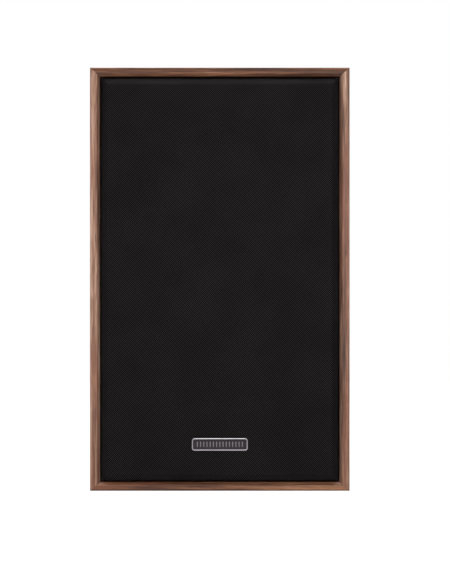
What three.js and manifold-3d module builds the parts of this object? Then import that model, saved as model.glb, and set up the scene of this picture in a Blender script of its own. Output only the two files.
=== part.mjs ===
// A two-way bookshelf loudspeaker: a mitred wooden cabinet with a cloth grille that pulls off, a cone
// woofer, a dome tweeter, and a port, binding posts and crossover at the back.
// Millimetres. +Z is up, the front faces -Y, and the origin is the centre of the cabinet's underside.
import * as THREE from "three";
import { ConvexGeometry } from "three/addons/geometries/ConvexGeometry.js";
import { mergeVertices } from "three/addons/utils/BufferGeometryUtils.js";
import Module from "manifold-3d";

const wasm = await Module();
wasm.setup();

// ---- Driving dimensions ----

const GAP = 0.3; // left between pieces that rest on each other
const ROUND = 32; // sides of a large round piece
const INNER_ROUND = 20; // sides of a round piece inside the cabinet
const SMALL_ROUND = 12; // sides of a screw, peg or knob
const CORNER_STEPS = 3; // steps round a corner of an outline

const cabinet = {
  width: 235,
  height: 383,
  depth: 240,
  side: 9, // thickness of the side boards
  board: 7.8, // thickness of the top and bottom boards
  lip: 2.7, // chamfer along the inner front edge
  arris: 0.6, // broken outer edges
  mitreGap: 0.1, // half of the joint line
  frontRecess: 14, // from the boards' front edges to the baffle
  rearRecess: 6, // from the boards' rear edges to the rear panel
};
const baffleThick = 15;
const rearThick = 12;

const woofer = {
  z: 134,
  flange: 82.5,
  flangeThick: 5,
  hole: 73.5,
  shelf: 38, // depth of the spider's shelf behind the baffle face
  base: 49, // depth of the basket's base
  spokes: 6,
  screwCircle: 78.6,
  screws: 4,
};
const coneShape = { neck: 13.6, rim: 60.5, rimDepth: 0.8, neckDepth: 25.2, thick: 1.2 };
const pole = 12;
const wooferMotor = {
  coil: { inner: 12.6, outer: 13.1, from: 25, to: 59, winding: { outer: 13.5, from: 49, to: 58.5 } },
  topPlate: { inner: 14, outer: 41, thick: 6 },
  magnet: { inner: 24, outer: 45, thick: 18 },
  yoke: { outer: 40, thick: 6, poleTop: 50, vent: 5 },
};

const tweeter = {
  z: 284,
  plate: 50,
  plateThick: 4,
  hub: 36.8,
  hubDepth: 7,
  throat: 15.6,
  screwCircle: 43.5,
  screws: 3,
};
const domeShape = { radius: 12.9, rim: 15.2, apex: 0.4, base: 5.2, thick: 0.5 };
const tweeterMotor = {
  coil: { inner: 12.5, outer: 13, from: 6, to: 10.6, winding: { outer: 13.3, from: 7.6, to: 10.2 } },
  topPlate: { inner: 13.8, outer: 35, thick: 3 },
  magnet: { inner: 20, outer: 36, thick: 12 },
  yoke: { outer: 34, thick: 5, poleTop: tweeter.hubDepth + GAP, vent: 2 },
};

const screwSizes = {
  woofer: { head: 3.5, headThick: 2.2, shank: 1.9, length: 13, hole: 2.3 },
  tweeter: { head: 3, headThick: 1.8, shank: 1.6, length: 12, hole: 2 },
  cup: { head: 2.7, headThick: 1.7, shank: 1.4, length: 10, hole: 1.8 },
};

const port = { z: 300, bore: 25, wall: 2.5, flange: 36, flangeThick: 2.5, mouth: 30, length: 97 };

const cup = {
  z: 110,
  flange: { width: 94, height: 74, thick: 3 },
  pocket: { width: 78, height: 58, depth: 22 },
  wall: 2.5,
  standoff: { x: 34, z: 24, radius: 3, length: 4.3 },
  screwX: 43,
  screwZ: 33,
};
const post = {
  x: 9.5,
  z: 96,
  stud: 2.5,
  banana: 1.6,
  shoulder: 5.5,
  knob: 6.5,
  knobLength: 13,
  insert: 4.4,
};

const grille = {
  width: 214.4,
  height: 364.8,
  corner: 4,
  proud: 2.5, // how far it stands in front of the boards
  bevelWidth: 5.5,
  bevelDepth: 5,
  cloth: 1,
  clothSide: 7.5, // how far the cloth is solid along the frame's sides
  rail: 18,
  bottomRail: 41,
  crossBar: { low: 218.5, high: 231.5 },
  peg: { x: 98, low: 30, high: 353, radius: 2.9, length: 9.5 },
};
const socket = { bore: 3.3, outer: 4.9, flange: 6.6, flangeThick: 0.9, length: 11.5 };
const badge = { z: 42.2, width: 50.6, height: 11.4, thick: 1.8, corner: 2.4, rim: 1.2, recess: 0.6 };

const FRONT = -cabinet.depth / 2;
const REAR = cabinet.depth / 2;
const BAFFLE = FRONT + cabinet.frontRecess; // the baffle's front face
const REAR_FACE = REAR - cabinet.rearRecess; // the rear panel's outer face
const GRILLE_FRONT = FRONT - grille.proud;
const HALF_WIDTH = cabinet.width / 2;
const INSIDE_X = HALF_WIDTH - cabinet.side;
const INSIDE_TOP = cabinet.height - cabinet.board;
const CUP_FLOOR = REAR_FACE + GAP + cup.flange.thick - cup.pocket.depth; // the pocket's inner face
const CUP_BACK = CUP_FLOOR - cup.wall;
const BOARD_BACK = CUP_BACK - cup.standoff.length - GAP;
const BOARD_FACE = BOARD_BACK - 1.6;

// ---- Making and cutting solids ----

function solid(geometry) {
  const bare = geometry.index ? geometry.toNonIndexed() : geometry.clone();
  bare.deleteAttribute("normal");
  bare.deleteAttribute("uv");
  const merged = mergeVertices(bare, 1e-4);
  const vertProperties = merged.attributes.position.array;
  const triVerts = new Uint32Array(merged.index.array);
  return new wasm.Manifold(new wasm.Mesh({ numProp: 3, vertProperties, triVerts }));
}

function geometryOf(manifold) {
  const mesh = manifold.getMesh();
  const geometry = new THREE.BufferGeometry();
  geometry.setAttribute("position", new THREE.BufferAttribute(mesh.vertProperties, 3));
  geometry.setIndex(new THREE.BufferAttribute(mesh.triVerts, 1));
  geometry.computeVertexNormals();
  return geometry;
}

function cut(geometry, ...tools) {
  return geometryOf(tools.reduce((body, tool) => body.subtract(solid(tool)), solid(geometry)));
}

function join(geometry, ...others) {
  return geometryOf(others.reduce((body, other) => body.add(solid(other)), solid(geometry)));
}

function trim(geometry, keep) {
  return geometryOf(solid(geometry).intersect(solid(keep)));
}

// A box between two values on each axis.
function block([x0, x1], [y0, y1], [z0, z1]) {
  const box = new THREE.BoxGeometry(x1 - x0, y1 - y0, z1 - z0);
  return box.translate((x0 + x1) / 2, (y0 + y1) / 2, (z0 + z1) / 2);
}

// A profile of [radius, y] points turned about a front-to-back axis through (x, z). A profile that
// doesn't touch the axis is closed into a ring.
function turned(profile, { x = 0, z = 0 } = {}, sides = ROUND) {
  const points = profile.map(([radius, y]) => new THREE.Vector2(radius, y));
  if (THREE.ShapeUtils.area(points) < 0) points.reverse();
  if (points[0].x > 0) points.push(points[0].clone());
  return new THREE.LatheGeometry(points, sides).translate(x, 0, z);
}

function disc(radius, y0, y1, at, sides) {
  return turned([[0, y0], [radius, y0], [radius, y1], [0, y1]], at, sides);
}

function ring(inner, outer, y0, y1, at, sides) {
  return turned([[inner, y0], [outer, y0], [outer, y1], [inner, y1]], at, sides);
}

// An outline in x and z, made into a slab between two depths.
function slab(shape, y0, y1) {
  const made = new THREE.ExtrudeGeometry(shape, {
    depth: y1 - y0,
    bevelEnabled: false,
    curveSegments: CORNER_STEPS,
  });
  return made.rotateX(Math.PI / 2).translate(0, y1, 0);
}

function roundedRect(x0, x1, z0, z1, radius) {
  const shape = new THREE.Shape();
  shape.absarc(x1 - radius, z1 - radius, radius, 0, Math.PI / 2);
  shape.absarc(x0 + radius, z1 - radius, radius, Math.PI / 2, Math.PI);
  shape.absarc(x0 + radius, z0 + radius, radius, Math.PI, Math.PI * 1.5);
  shape.absarc(x1 - radius, z0 + radius, radius, Math.PI * 1.5, Math.PI * 2);
  return shape;
}

// A slab whose front edge is bevelled all round. `outline` gives its outline drawn in by a distance.
function bevelledSlab(outline, bevelWidth, bevelDepth, y0, y1) {
  const level = (inset, y) => {
    const points = outline(inset).getPoints(CORNER_STEPS);
    return points.map(({ x, y: z }) => new THREE.Vector3(x, y, z));
  };
  return new ConvexGeometry([
    ...level(bevelWidth, y0),
    ...level(0, y0 + bevelDepth),
    ...level(0, y1),
  ]);
}

function polygon(points) {
  return new THREE.Shape(points.map(([u, v]) => new THREE.Vector2(u, v)));
}

// Points spread evenly round a circle that faces the front, as {x, z}.
function around(count, radius, centreZ, startDegrees) {
  return Array.from({ length: count }, (_, i) => {
    const angle = THREE.MathUtils.degToRad(startDegrees + (360 / count) * i);
    return { x: radius * Math.cos(angle), z: centreZ + radius * Math.sin(angle) };
  });
}

// A wire that follows a smooth curve through its points.
function wire(points, radius) {
  const section = new THREE.Shape();
  section.absarc(0, 0, radius, 0, Math.PI * 2);
  const path = new THREE.CatmullRomCurve3(points.map((p) => new THREE.Vector3(...p)));
  return new THREE.ExtrudeGeometry(section, { steps: 18, curveSegments: 2, extrudePath: path });
}

// ---- Materials ----

const finish = (color, roughness, metalness = 0) =>
  new THREE.MeshStandardMaterial({ color, roughness, metalness });

const materials = {
  walnut: finish(0x7c563f, 0.5),
  baffle: finish(0x1b1b1c, 0.6),
  grilleCloth: finish(0x1c1a1b, 0.95),
  grillePlastic: finish(0x161616, 0.6),
  badge: finish(0x6e6a68, 0.35, 1),
  cone: finish(0x222223, 0.75),
  rubber: finish(0x141414, 0.7),
  cloth: finish(0x8a7440, 0.9),
  basket: finish(0x1d1d1f, 0.45, 0.6),
  magnet: finish(0x2d2d30, 0.65),
  steel: finish(0x9a9b9e, 0.35, 1),
  screw: finish(0x232325, 0.35, 0.9),
  brass: finish(0xc2a25a, 0.3, 1),
  blackPlastic: finish(0x191919, 0.5),
  redPlastic: finish(0xa81c1c, 0.35),
  silk: finish(0x2a2a2d, 0.5),
  copper: finish(0xb4693c, 0.35, 1),
  circuit: finish(0x2d4a2c, 0.55),
  film: finish(0xb08a2e, 0.4),
  ceramic: finish(0xd9d4c6, 0.7),
  wadding: finish(0xe3e1da, 0.95),
  wireRed: finish(0x8f2020, 0.5),
};

const group = new THREE.Group();

function add(name, geometry, material) {
  const mesh = new THREE.Mesh(geometry, material);
  mesh.name = name;
  group.add(mesh);
}

// ---- Cabinet boards ----

// A side board: its section in plan, drawn up the full height and mitred at both ends.
function sidePanel(sign) {
  const at = (inset, y) => [sign * (HALF_WIDTH - inset), y];
  const { side, board, lip, arris, mitreGap } = cabinet;
  const section = polygon([
    at(arris, FRONT),
    at(side - lip, FRONT),
    at(side, FRONT + lip),
    at(side, REAR),
    at(arris, REAR),
    at(0, REAR - arris),
    at(0, FRONT + arris),
  ]);
  const drawn = new THREE.ExtrudeGeometry(section, { depth: cabinet.height, bevelEnabled: false });
  const mitred = polygon([
    [sign * HALF_WIDTH, mitreGap],
    [sign * INSIDE_X, board + mitreGap],
    [sign * INSIDE_X, INSIDE_TOP - mitreGap],
    [sign * HALF_WIDTH, cabinet.height - mitreGap],
  ]);
  return trim(drawn, slab(mitred, FRONT - 1, REAR + 1));
}

// The top or bottom board: its section seen from the side, drawn across the width and mitred.
function levelPanel(outerZ, sign) {
  const at = (y, inset) => [y, outerZ - sign * inset];
  const { side, board, lip, arris, mitreGap } = cabinet;
  const section = polygon([
    at(FRONT, arris),
    at(FRONT, board - lip),
    at(FRONT + lip, board),
    at(REAR, board),
    at(REAR, arris),
    at(REAR - arris, 0),
    at(FRONT + arris, 0),
  ]);
  const drawn = new THREE.ExtrudeGeometry(section, { depth: cabinet.width, bevelEnabled: false });
  const across = new THREE.Matrix4().makeBasis(
    new THREE.Vector3(0, 1, 0),
    new THREE.Vector3(0, 0, 1),
    new THREE.Vector3(1, 0, 0),
  );
  drawn.applyMatrix4(across).translate(-HALF_WIDTH, 0, 0);
  const half = HALF_WIDTH - mitreGap;
  const mitred = polygon([
    [-half, outerZ],
    [half, outerZ],
    [half - side, outerZ - sign * board],
    [-half + side, outerZ - sign * board],
  ]);
  return trim(drawn, slab(mitred, FRONT - 1, REAR + 1));
}

add("left_side_panel", sidePanel(-1), materials.walnut);
add("right_side_panel", sidePanel(1), materials.walnut);
add("top_panel", levelPanel(cabinet.height, 1), materials.walnut);
add("bottom_panel", levelPanel(0, -1), materials.walnut);

// ---- Baffle and rear panel ----

const wooferAt = { z: woofer.z };
const tweeterAt = { z: tweeter.z };
const wooferScrews = around(woofer.screws, woofer.screwCircle, woofer.z, 45);
const tweeterScrews = around(tweeter.screws, tweeter.screwCircle, tweeter.z, 90);
const cupScrews = [-1, 1].flatMap((sx) =>
  [-1, 1].map((sz) => ({ x: sx * cup.screwX, z: cup.z + sz * cup.screwZ })),
);
const pegs = [-1, 1].flatMap((sx) =>
  [grille.peg.low, grille.peg.high].map((z) => ({ x: sx * grille.peg.x, z })),
);

function innerPanel(y0, y1) {
  const halfWidth = INSIDE_X - GAP;
  return block([-halfWidth, halfWidth], [y0, y1], [cabinet.board + GAP, INSIDE_TOP - GAP]);
}

function frontBaffle() {
  const back = BAFFLE + baffleThick;
  const wooferRebate = woofer.flangeThick + GAP;
  const tweeterRebate = tweeter.plateThick + GAP;
  const flangeRebate = socket.flangeThick + GAP;
  const pilot = 14; // depth of the screws' holes
  const through = [BAFFLE - 1, back + 1];
  return cut(
    innerPanel(BAFFLE, back),
    disc(woofer.hole, ...through, wooferAt),
    disc(woofer.flange + GAP, BAFFLE - 1, BAFFLE + wooferRebate, wooferAt),
    disc(tweeter.hub + GAP, ...through, tweeterAt),
    disc(tweeter.plate + GAP, BAFFLE - 1, BAFFLE + tweeterRebate, tweeterAt),
    ...wooferScrews.map((at) => disc(screwSizes.woofer.hole, BAFFLE, BAFFLE + pilot, at, SMALL_ROUND)),
    ...tweeterScrews.map((at) => disc(screwSizes.tweeter.hole, BAFFLE, BAFFLE + pilot, at, SMALL_ROUND)),
    ...pegs.map((at) => disc(socket.outer + GAP, ...through, at, SMALL_ROUND)),
    ...pegs.map((at) => disc(socket.flange + GAP, BAFFLE - 1, BAFFLE + flangeRebate, at, SMALL_ROUND)),
  );
}

function rearPanel() {
  const inner = REAR_FACE - rearThick;
  const { pocket, wall } = cup;
  const halfWidth = pocket.width / 2 + wall + GAP;
  const halfHeight = pocket.height / 2 + wall + GAP;
  const through = [inner - 1, REAR_FACE + 1];
  return cut(
    innerPanel(inner, REAR_FACE),
    disc(port.bore + port.wall + GAP, ...through, { z: port.z }),
    block([-halfWidth, halfWidth], through, [cup.z - halfHeight, cup.z + halfHeight]),
    ...cupScrews.map((at) => disc(screwSizes.cup.hole, REAR_FACE - 9, REAR_FACE + 1, at, SMALL_ROUND)),
  );
}

add("front_baffle", frontBaffle(), materials.baffle);
add("rear_panel", rearPanel(), materials.blackPlastic);

// ---- Screws ----

// A pan-head screw that goes in along y. `facing` is -1 for a head at the front and 1 at the rear.
function screw(at, { head, headThick, shank, length }, face, facing) {
  const y = (out) => face + facing * out;
  const profile = [
    [0, y(-length)],
    [shank * 0.6, y(-length)],
    [shank, y(-length + 2)],
    [shank, y(0)],
    [head, y(0)],
    [head * 0.8, y(headThick)],
    [0, y(headThick)],
  ];
  const socketDrive = disc(head * 0.38, y(headThick * 0.35), y(headThick + 1), at, 4);
  return cut(turned(profile, at, SMALL_ROUND), socketDrive);
}

wooferScrews.forEach((at, i) => {
  const made = screw(at, screwSizes.woofer, BAFFLE - GAP, -1);
  add(`woofer_screw_${i + 1}`, made, materials.screw);
});
tweeterScrews.forEach((at, i) => {
  const made = screw(at, screwSizes.tweeter, BAFFLE - GAP, -1);
  add(`tweeter_screw_${i + 1}`, made, materials.screw);
});
cupScrews.forEach((at, i) => {
  const cupFace = REAR_FACE + GAP + cup.flange.thick;
  const made = screw(at, screwSizes.cup, cupFace + GAP, 1);
  add(`terminal_screw_${i + 1}`, made, materials.screw);
});

// ---- Woofer ----

const fromBaffle = (profile) => profile.map(([radius, depth]) => [radius, BAFFLE + depth]);

// A wedge between two radii, for the openings between the basket's spokes.
function wedge(inner, outer, halfAngle, turn, y0, y1) {
  const shape = new THREE.Shape();
  shape.absarc(0, 0, outer, -halfAngle, halfAngle);
  shape.absarc(0, 0, inner, halfAngle, -halfAngle, true);
  return slab(shape, y0, y1).rotateY(turn).translate(0, 0, woofer.z);
}

function wooferBasket() {
  const { flange, flangeThick, shelf, base, spokes } = woofer;
  const shell = turned(
    fromBaffle([
      [68, 0],
      [flange, 0],
      [flange, flangeThick],
      [73, flangeThick],
      [70.5, 12],
      [47, 42],
      [43, base],
      [22, base],
      [22, base - 3],
      [38, base - 3],
      [38, shelf],
      [44.5, shelf],
      [67.5, 12],
      [68, flangeThick],
    ]),
    wooferAt,
  );
  const halfAngle = THREE.MathUtils.degToRad(21);
  const openings = Array.from({ length: spokes }, (_, i) =>
    wedge(45, 76, halfAngle, (2 * Math.PI * i) / spokes, BAFFLE + 13, BAFFLE + 35),
  );
  const holes = wooferScrews.map((at) =>
    disc(screwSizes.woofer.hole, BAFFLE - 1, BAFFLE + flangeThick + 1, at, SMALL_ROUND),
  );
  return cut(shell, ...openings, ...holes);
}

function wooferGasket() {
  return turned(
    fromBaffle([
      [70.2, -3.4],
      [74.8, -3.4],
      [74.8, -GAP],
      [73.3, -GAP],
      [73.3, -1.5],
      [70.2, -1.5],
    ]),
    wooferAt,
  );
}

// A rolled rubber ring: two flat lips joined by a half circle that stands out to the front.
function wooferSurround() {
  const centre = 65.6;
  const lipFront = -1.1;
  const lipBack = -GAP;
  const steps = 4;
  const roll = (radius, level, turn) => {
    const angle = (Math.PI * turn) / steps;
    return [centre + radius * Math.cos(angle), level - radius * Math.sin(angle)];
  };
  const turns = Array.from({ length: steps + 1 }, (_, i) => i);
  return turned(
    fromBaffle([
      [72.9, lipBack],
      [72.9, lipFront],
      ...turns.map((turn) => roll(4.6, lipFront, turn)),
      [60.8, lipBack],
      ...turns.map((turn) => roll(3.8, lipBack, turn)).reverse(),
    ]),
    wooferAt,
  );
}

// A flat cloth ring pressed into shallow waves, between the voice coil and the basket's shelf.
function wooferSpider() {
  const level = woofer.shelf - GAP - 0.7;
  const waves = Array.from({ length: 7 }, (_, i) => [18 + i * 4, level - (i % 2 ? 2.4 : 0)]);
  const front = [[13.6, level - 1], ...waves, [44, level - 0.4]];
  const back = front.map(([radius, depth]) => [radius, depth + 0.7]).reverse();
  return turned(fromBaffle([...front, ...back]), wooferAt, INNER_ROUND);
}

function wooferCone() {
  const { neck, rim, rimDepth, neckDepth, thick } = coneShape;
  return turned(
    fromBaffle([
      [rim, rimDepth],
      [neck, neckDepth],
      [neck, neckDepth + thick],
      [rim, rimDepth + thick],
    ]),
    wooferAt,
  );
}

// Points along a shallow dome from its rim to its apex, and how deep the front face is at each.
function domePoints(radius, apexDepth, baseDepth, steps) {
  return Array.from({ length: steps + 1 }, (_, i) => {
    const r = radius * (1 - i / steps);
    return [r, apexDepth + (baseDepth - apexDepth) * (r / radius) ** 2];
  });
}

function dustCap() {
  const front = domePoints(20.4, 13, 20.2, 4);
  const back = front.map(([r, depth]) => [r, depth + 0.8]).reverse();
  return turned(fromBaffle([...front, ...back]), wooferAt, INNER_ROUND);
}

function voiceCoil({ inner, outer, from, to, winding }, at) {
  return turned(
    fromBaffle([
      [inner, from],
      [outer, from],
      [outer, winding.from],
      [winding.outer, winding.from],
      [winding.outer, winding.to],
      [outer, winding.to],
      [outer, to],
      [inner, to],
    ]),
    at,
    INNER_ROUND,
  );
}

// A back plate with the pole that stands in the voice coil, and a vent through both.
function yoke({ outer, thick, poleTop, vent }, depth, at) {
  return turned(
    fromBaffle([
      [vent, poleTop],
      [pole, poleTop],
      [pole, depth],
      [outer, depth],
      [outer, depth + thick],
      [vent, depth + thick],
    ]),
    at,
    INNER_ROUND,
  );
}

// The motor's pieces, stacked from a depth inwards: top plate, magnet, then the yoke.
function addMotor(name, { coil, topPlate, magnet, yoke: back }, depth, at) {
  const level = ({ inner, outer, thick }, start) =>
    ring(inner, outer, BAFFLE + start, BAFFLE + start + thick, at, INNER_ROUND);
  const magnetDepth = depth + topPlate.thick + GAP;
  add(`${name}_voice_coil`, voiceCoil(coil, at), materials.copper);
  add(`${name}_top_plate`, level(topPlate, depth), materials.steel);
  add(`${name}_magnet`, level(magnet, magnetDepth), materials.magnet);
  add(`${name}_yoke`, yoke(back, magnetDepth + magnet.thick + GAP, at), materials.steel);
}

add("woofer_basket", wooferBasket(), materials.basket);
add("woofer_gasket", wooferGasket(), materials.rubber);
add("woofer_surround", wooferSurround(), materials.rubber);
add("woofer_spider", wooferSpider(), materials.cloth);
add("woofer_cone", wooferCone(), materials.cone);
add("woofer_dust_cap", dustCap(), materials.cone);
addMotor("woofer", wooferMotor, woofer.base + GAP, wooferAt);

// ---- Tweeter ----

function tweeterFaceplate() {
  const { plate, plateThick, hub, hubDepth, throat } = tweeter;
  const shell = turned(
    fromBaffle([
      [throat, domeShape.base - 0.6],
      [21, 2.2],
      [30, 0.6],
      [33, 0],
      [plate, 0],
      [plate, plateThick],
      [hub, plateThick],
      [hub, hubDepth],
      [throat, hubDepth],
    ]),
    tweeterAt,
  );
  const holes = tweeterScrews.map((at) =>
    disc(screwSizes.tweeter.hole, BAFFLE - 1, BAFFLE + plateThick + 2, at, SMALL_ROUND),
  );
  return cut(shell, ...holes);
}

function tweeterDome() {
  const { radius, rim, apex, base, thick } = domeShape;
  const front = domePoints(radius, apex, base, 4);
  const back = domePoints(radius - thick, apex + thick, base + thick, 4).reverse();
  const edge = [[rim, base + thick], [rim, base]];
  return turned(fromBaffle([...edge, ...front, ...back]), tweeterAt, INNER_ROUND);
}

add("tweeter_faceplate", tweeterFaceplate(), materials.blackPlastic);
add("tweeter_dome", tweeterDome(), materials.silk);
addMotor("tweeter", tweeterMotor, tweeter.hubDepth + GAP, tweeterAt);

// ---- Port ----

function portTube() {
  const { bore, wall, flange, flangeThick, mouth, length } = port;
  const face = REAR_FACE + GAP;
  const outside = face + flangeThick;
  const inside = face - length;
  return turned(
    [
      [bore + wall, inside],
      [bore + wall, face],
      [flange, face],
      [flange - 1, outside],
      [mouth, outside],
      [mouth - 3, outside - 2],
      [bore + 0.7, outside - 6],
      [bore, outside - 10],
      [bore, inside + 3],
      [bore + 1.2, inside],
    ],
    { z: port.z },
  );
}

add("port_tube", portTube(), materials.blackPlastic);

// ---- Terminal cup and binding posts ----

function terminalCup() {
  const { flange, pocket, wall, standoff } = cup;
  const outline = (width, height, radius) =>
    roundedRect(-width / 2, width / 2, cup.z - height / 2, cup.z + height / 2, radius);
  const face = REAR_FACE + GAP;
  const rim = slab(outline(flange.width, flange.height, 6), face, face + flange.thick);
  const outerWall = outline(pocket.width + 2 * wall, pocket.height + 2 * wall, 1.5);
  const body = slab(outerWall, CUP_BACK, face + flange.thick);
  const standoffs = [-1, 1].flatMap((sx) =>
    [-1, 1].map((sz) => {
      const at = { x: sx * standoff.x, z: cup.z + sz * standoff.z };
      return disc(standoff.radius, CUP_BACK - standoff.length, CUP_BACK + 1, at, SMALL_ROUND);
    }),
  );
  const hollow = slab(outline(pocket.width, pocket.height, 2), CUP_FLOOR, face + flange.thick + 1);
  const studHoles = [-1, 1].map((sx) =>
    disc(post.stud + GAP, CUP_BACK - 1, CUP_FLOOR + 1, { x: sx * post.x, z: post.z }, SMALL_ROUND),
  );
  const screwHoles = cupScrews.map((at) =>
    disc(screwSizes.cup.hole, face - 1, face + flange.thick + 1, at, SMALL_ROUND),
  );
  return cut(join(rim, body, ...standoffs), hollow, ...studHoles, ...screwHoles);
}

// The threaded stud: a shoulder on the cup's floor, a hollow end for a plug, and a tail for the board.
function bindingStud(at) {
  const shoulderBack = CUP_FLOOR + GAP;
  const tip = shoulderBack + 17;
  return turned(
    [
      [0, BOARD_FACE - 3],
      [post.stud, BOARD_FACE - 3],
      [post.stud, shoulderBack],
      [post.shoulder, shoulderBack],
      [post.shoulder, shoulderBack + 2],
      [post.stud, shoulderBack + 2],
      [post.stud, tip],
      [post.banana, tip],
      [post.banana, tip - 13],
      [0, tip - 13],
    ],
    at,
    SMALL_ROUND,
  );
}

// The plastic knob, with a stepped bore for its brass insert and a smaller hole for a plug.
function bindingCap(at) {
  const back = CUP_FLOOR + 2 * GAP + 2;
  const end = back + post.knobLength;
  const bore = post.insert + GAP;
  return turned(
    [
      [bore, back],
      [post.knob - 0.6, back],
      [post.knob, back + 1],
      [post.knob, end - 1.5],
      [post.knob - 1.5, end],
      [post.stud + 0.6, end],
      [post.stud + 0.6, end - 1.5],
      [bore, end - 1.5],
    ],
    at,
    SMALL_ROUND,
  );
}

function bindingInsert(at) {
  const back = CUP_FLOOR + 2 * GAP + 2;
  return ring(post.stud + 0.4, post.insert, back + 0.5, back + post.knobLength - 2, at, SMALL_ROUND);
}

// A six-sided nut against the cup's back.
function studNut(at) {
  const face = CUP_BACK - GAP;
  const bore = disc(post.stud + GAP, face - 5, face + 1, at, SMALL_ROUND);
  return cut(disc(4.6, face - 3.2, face, at, 6), bore);
}

function crossoverBoard() {
  const plate = roundedRect(-40, 40, cup.z - 30, cup.z + 30, 2);
  const holes = [-1, 1].map((sx) =>
    disc(post.stud + GAP, BOARD_FACE - 1, BOARD_BACK + 1, { x: sx * post.x, z: post.z }, SMALL_ROUND),
  );
  return cut(slab(plate, BOARD_FACE, BOARD_BACK), ...holes);
}

add("terminal_cup", terminalCup(), materials.blackPlastic);
add("crossover_board", crossoverBoard(), materials.circuit);
const terminals = [
  { name: "positive", x: -post.x, plastic: materials.redPlastic },
  { name: "negative", x: post.x, plastic: materials.blackPlastic },
];
for (const { name, x, plastic } of terminals) {
  const at = { x, z: post.z };
  add(`${name}_stud`, bindingStud(at), materials.brass);
  add(`${name}_stud_nut`, studNut(at), materials.brass);
  add(`${name}_cap_insert`, bindingInsert(at), materials.brass);
  add(`${name}_cap`, bindingCap(at), plastic);
}

// ---- Crossover parts, on the board's inner face ----

const partsFace = BOARD_FACE - GAP;
const wooferInductor = { x: -23, z: 123, inner: 7, outer: 15, thick: 13 };
const tweeterInductor = { x: 6, z: 127, inner: 4.5, outer: 10, thick: 9 };

function inductor({ x, z, inner, outer, thick }) {
  return ring(inner, outer, partsFace - thick, partsFace, { x, z }, INNER_ROUND);
}

function lyingCapacitor(x0, x1, radius, z) {
  const can = new THREE.CylinderGeometry(radius, radius, x1 - x0, INNER_ROUND);
  return can.rotateZ(Math.PI / 2).translate((x0 + x1) / 2, partsFace - radius, z);
}

function standingCapacitor(x, radius, z0, z1) {
  const can = new THREE.CylinderGeometry(radius, radius, z1 - z0, INNER_ROUND);
  return can.rotateX(Math.PI / 2).translate(x, partsFace - radius, (z0 + z1) / 2);
}

add("woofer_inductor", inductor(wooferInductor), materials.copper);
add("tweeter_inductor", inductor(tweeterInductor), materials.copper);
add("woofer_capacitor", lyingCapacitor(-39, -16, 6.5, 88.5), materials.film);
add("tweeter_capacitor", standingCapacitor(26, 6.5, 114, 136), materials.film);
add("tweeter_resistor", block([16, 39], [partsFace - 9, partsFace], [83, 92]), materials.ceramic);

// ---- Internal leads and wadding ----

const wooferLead = [
  [-37, BOARD_FACE - 3, 137],
  [-40, 62, 136],
  [-54, 30, 122],
  [-68, -10, 112],
  [-70, -46, 118],
  [-64, -66, 130],
  [-60, -74, 134],
];
const tweeterLead = [
  [37, BOARD_FACE - 3, 137],
  [42, 62, 142],
  [58, 36, 160],
  [60, 0, 196],
  [44, -34, 232],
  [22, -54, 256],
  [14, -68, 264],
  [13, -74, 265],
];
add("woofer_lead", wire(wooferLead, 1.7), materials.wireRed);
add("tweeter_lead", wire(tweeterLead, 1.7), materials.wireRed);
add("damping_pad", block([-95, 95], [-40, 85], [cabinet.board + 0.5, 44]), materials.wadding);

// ---- Grille ----

const GRILLE_LOW = (cabinet.height - grille.height) / 2;
const GRILLE_HIGH = GRILLE_LOW + grille.height;

// The outline of a layer that lies some way under the grille's skin, drawn in further by an inset.
const grilleOutline = (layer) => (inset) => {
  const from = layer + inset;
  const halfWidth = grille.width / 2 - from;
  const corner = Math.max(grille.corner - from, 1);
  return roundedRect(-halfWidth, halfWidth, GRILLE_LOW + from, GRILLE_HIGH - from, corner);
};

function grilleFrame() {
  const { cloth, bevelWidth, bevelDepth, rail, bottomRail, crossBar, width } = grille;
  const inset = cloth + GAP;
  const front = GRILLE_FRONT + inset;
  const back = BAFFLE - GAP;
  const body = bevelledSlab(grilleOutline(inset), bevelWidth, bevelDepth, front, back);
  const halfWindow = width / 2 - rail;
  const window = (z0, z1) => slab(roundedRect(-halfWindow, halfWindow, z0, z1, 8), front - 1, back + 1);
  const frame = cut(
    body,
    window(GRILLE_LOW + bottomRail, crossBar.low),
    window(crossBar.high, GRILLE_HIGH - rail),
  );
  const { radius, length } = grille.peg;
  const pegProfile = [
    [0, back - 1],
    [radius, back - 1],
    [radius, back + length - 2],
    [radius * 0.6, back + length],
    [0, back + length],
  ];
  return join(frame, ...pegs.map((at) => turned(pegProfile, at, SMALL_ROUND)));
}

// The cloth over the front and the bevel, and a little way down the frame's sides.
function grilleCloth() {
  const { cloth, bevelWidth, bevelDepth, clothSide } = grille;
  const edge = GRILLE_FRONT + clothSide;
  const slabFrom = (inset, back) =>
    bevelledSlab(grilleOutline(inset), bevelWidth, bevelDepth, GRILLE_FRONT + inset, back);
  const outer = slabFrom(0, edge);
  const inner = slabFrom(cloth, edge + 1);
  return cut(outer, inner);
}

// A pill-cornered plate with a raised rim round a plain field.
function badgePlate() {
  const { z, width, height, thick, corner, rim, recess } = badge;
  const back = GRILLE_FRONT - GAP;
  const front = back - thick;
  const outline = (inset) =>
    roundedRect(
      -width / 2 + inset,
      width / 2 - inset,
      z - height / 2 + inset,
      z + height / 2 - inset,
      corner - inset,
    );
  const plate = bevelledSlab(outline, 0.5, 0.5, front, back);
  return cut(plate, slab(outline(rim), front - 1, front + recess));
}

function grilleSocket(at) {
  const { bore, outer, flange, flangeThick, length } = socket;
  const face = BAFFLE + GAP / 2;
  return turned(
    [
      [bore, face],
      [flange, face],
      [flange, face + flangeThick],
      [outer, face + flangeThick],
      [outer, face + length],
      [0, face + length],
      [0, face + length - 1.2],
      [bore, face + length - 1.2],
    ],
    at,
    SMALL_ROUND,
  );
}

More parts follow.
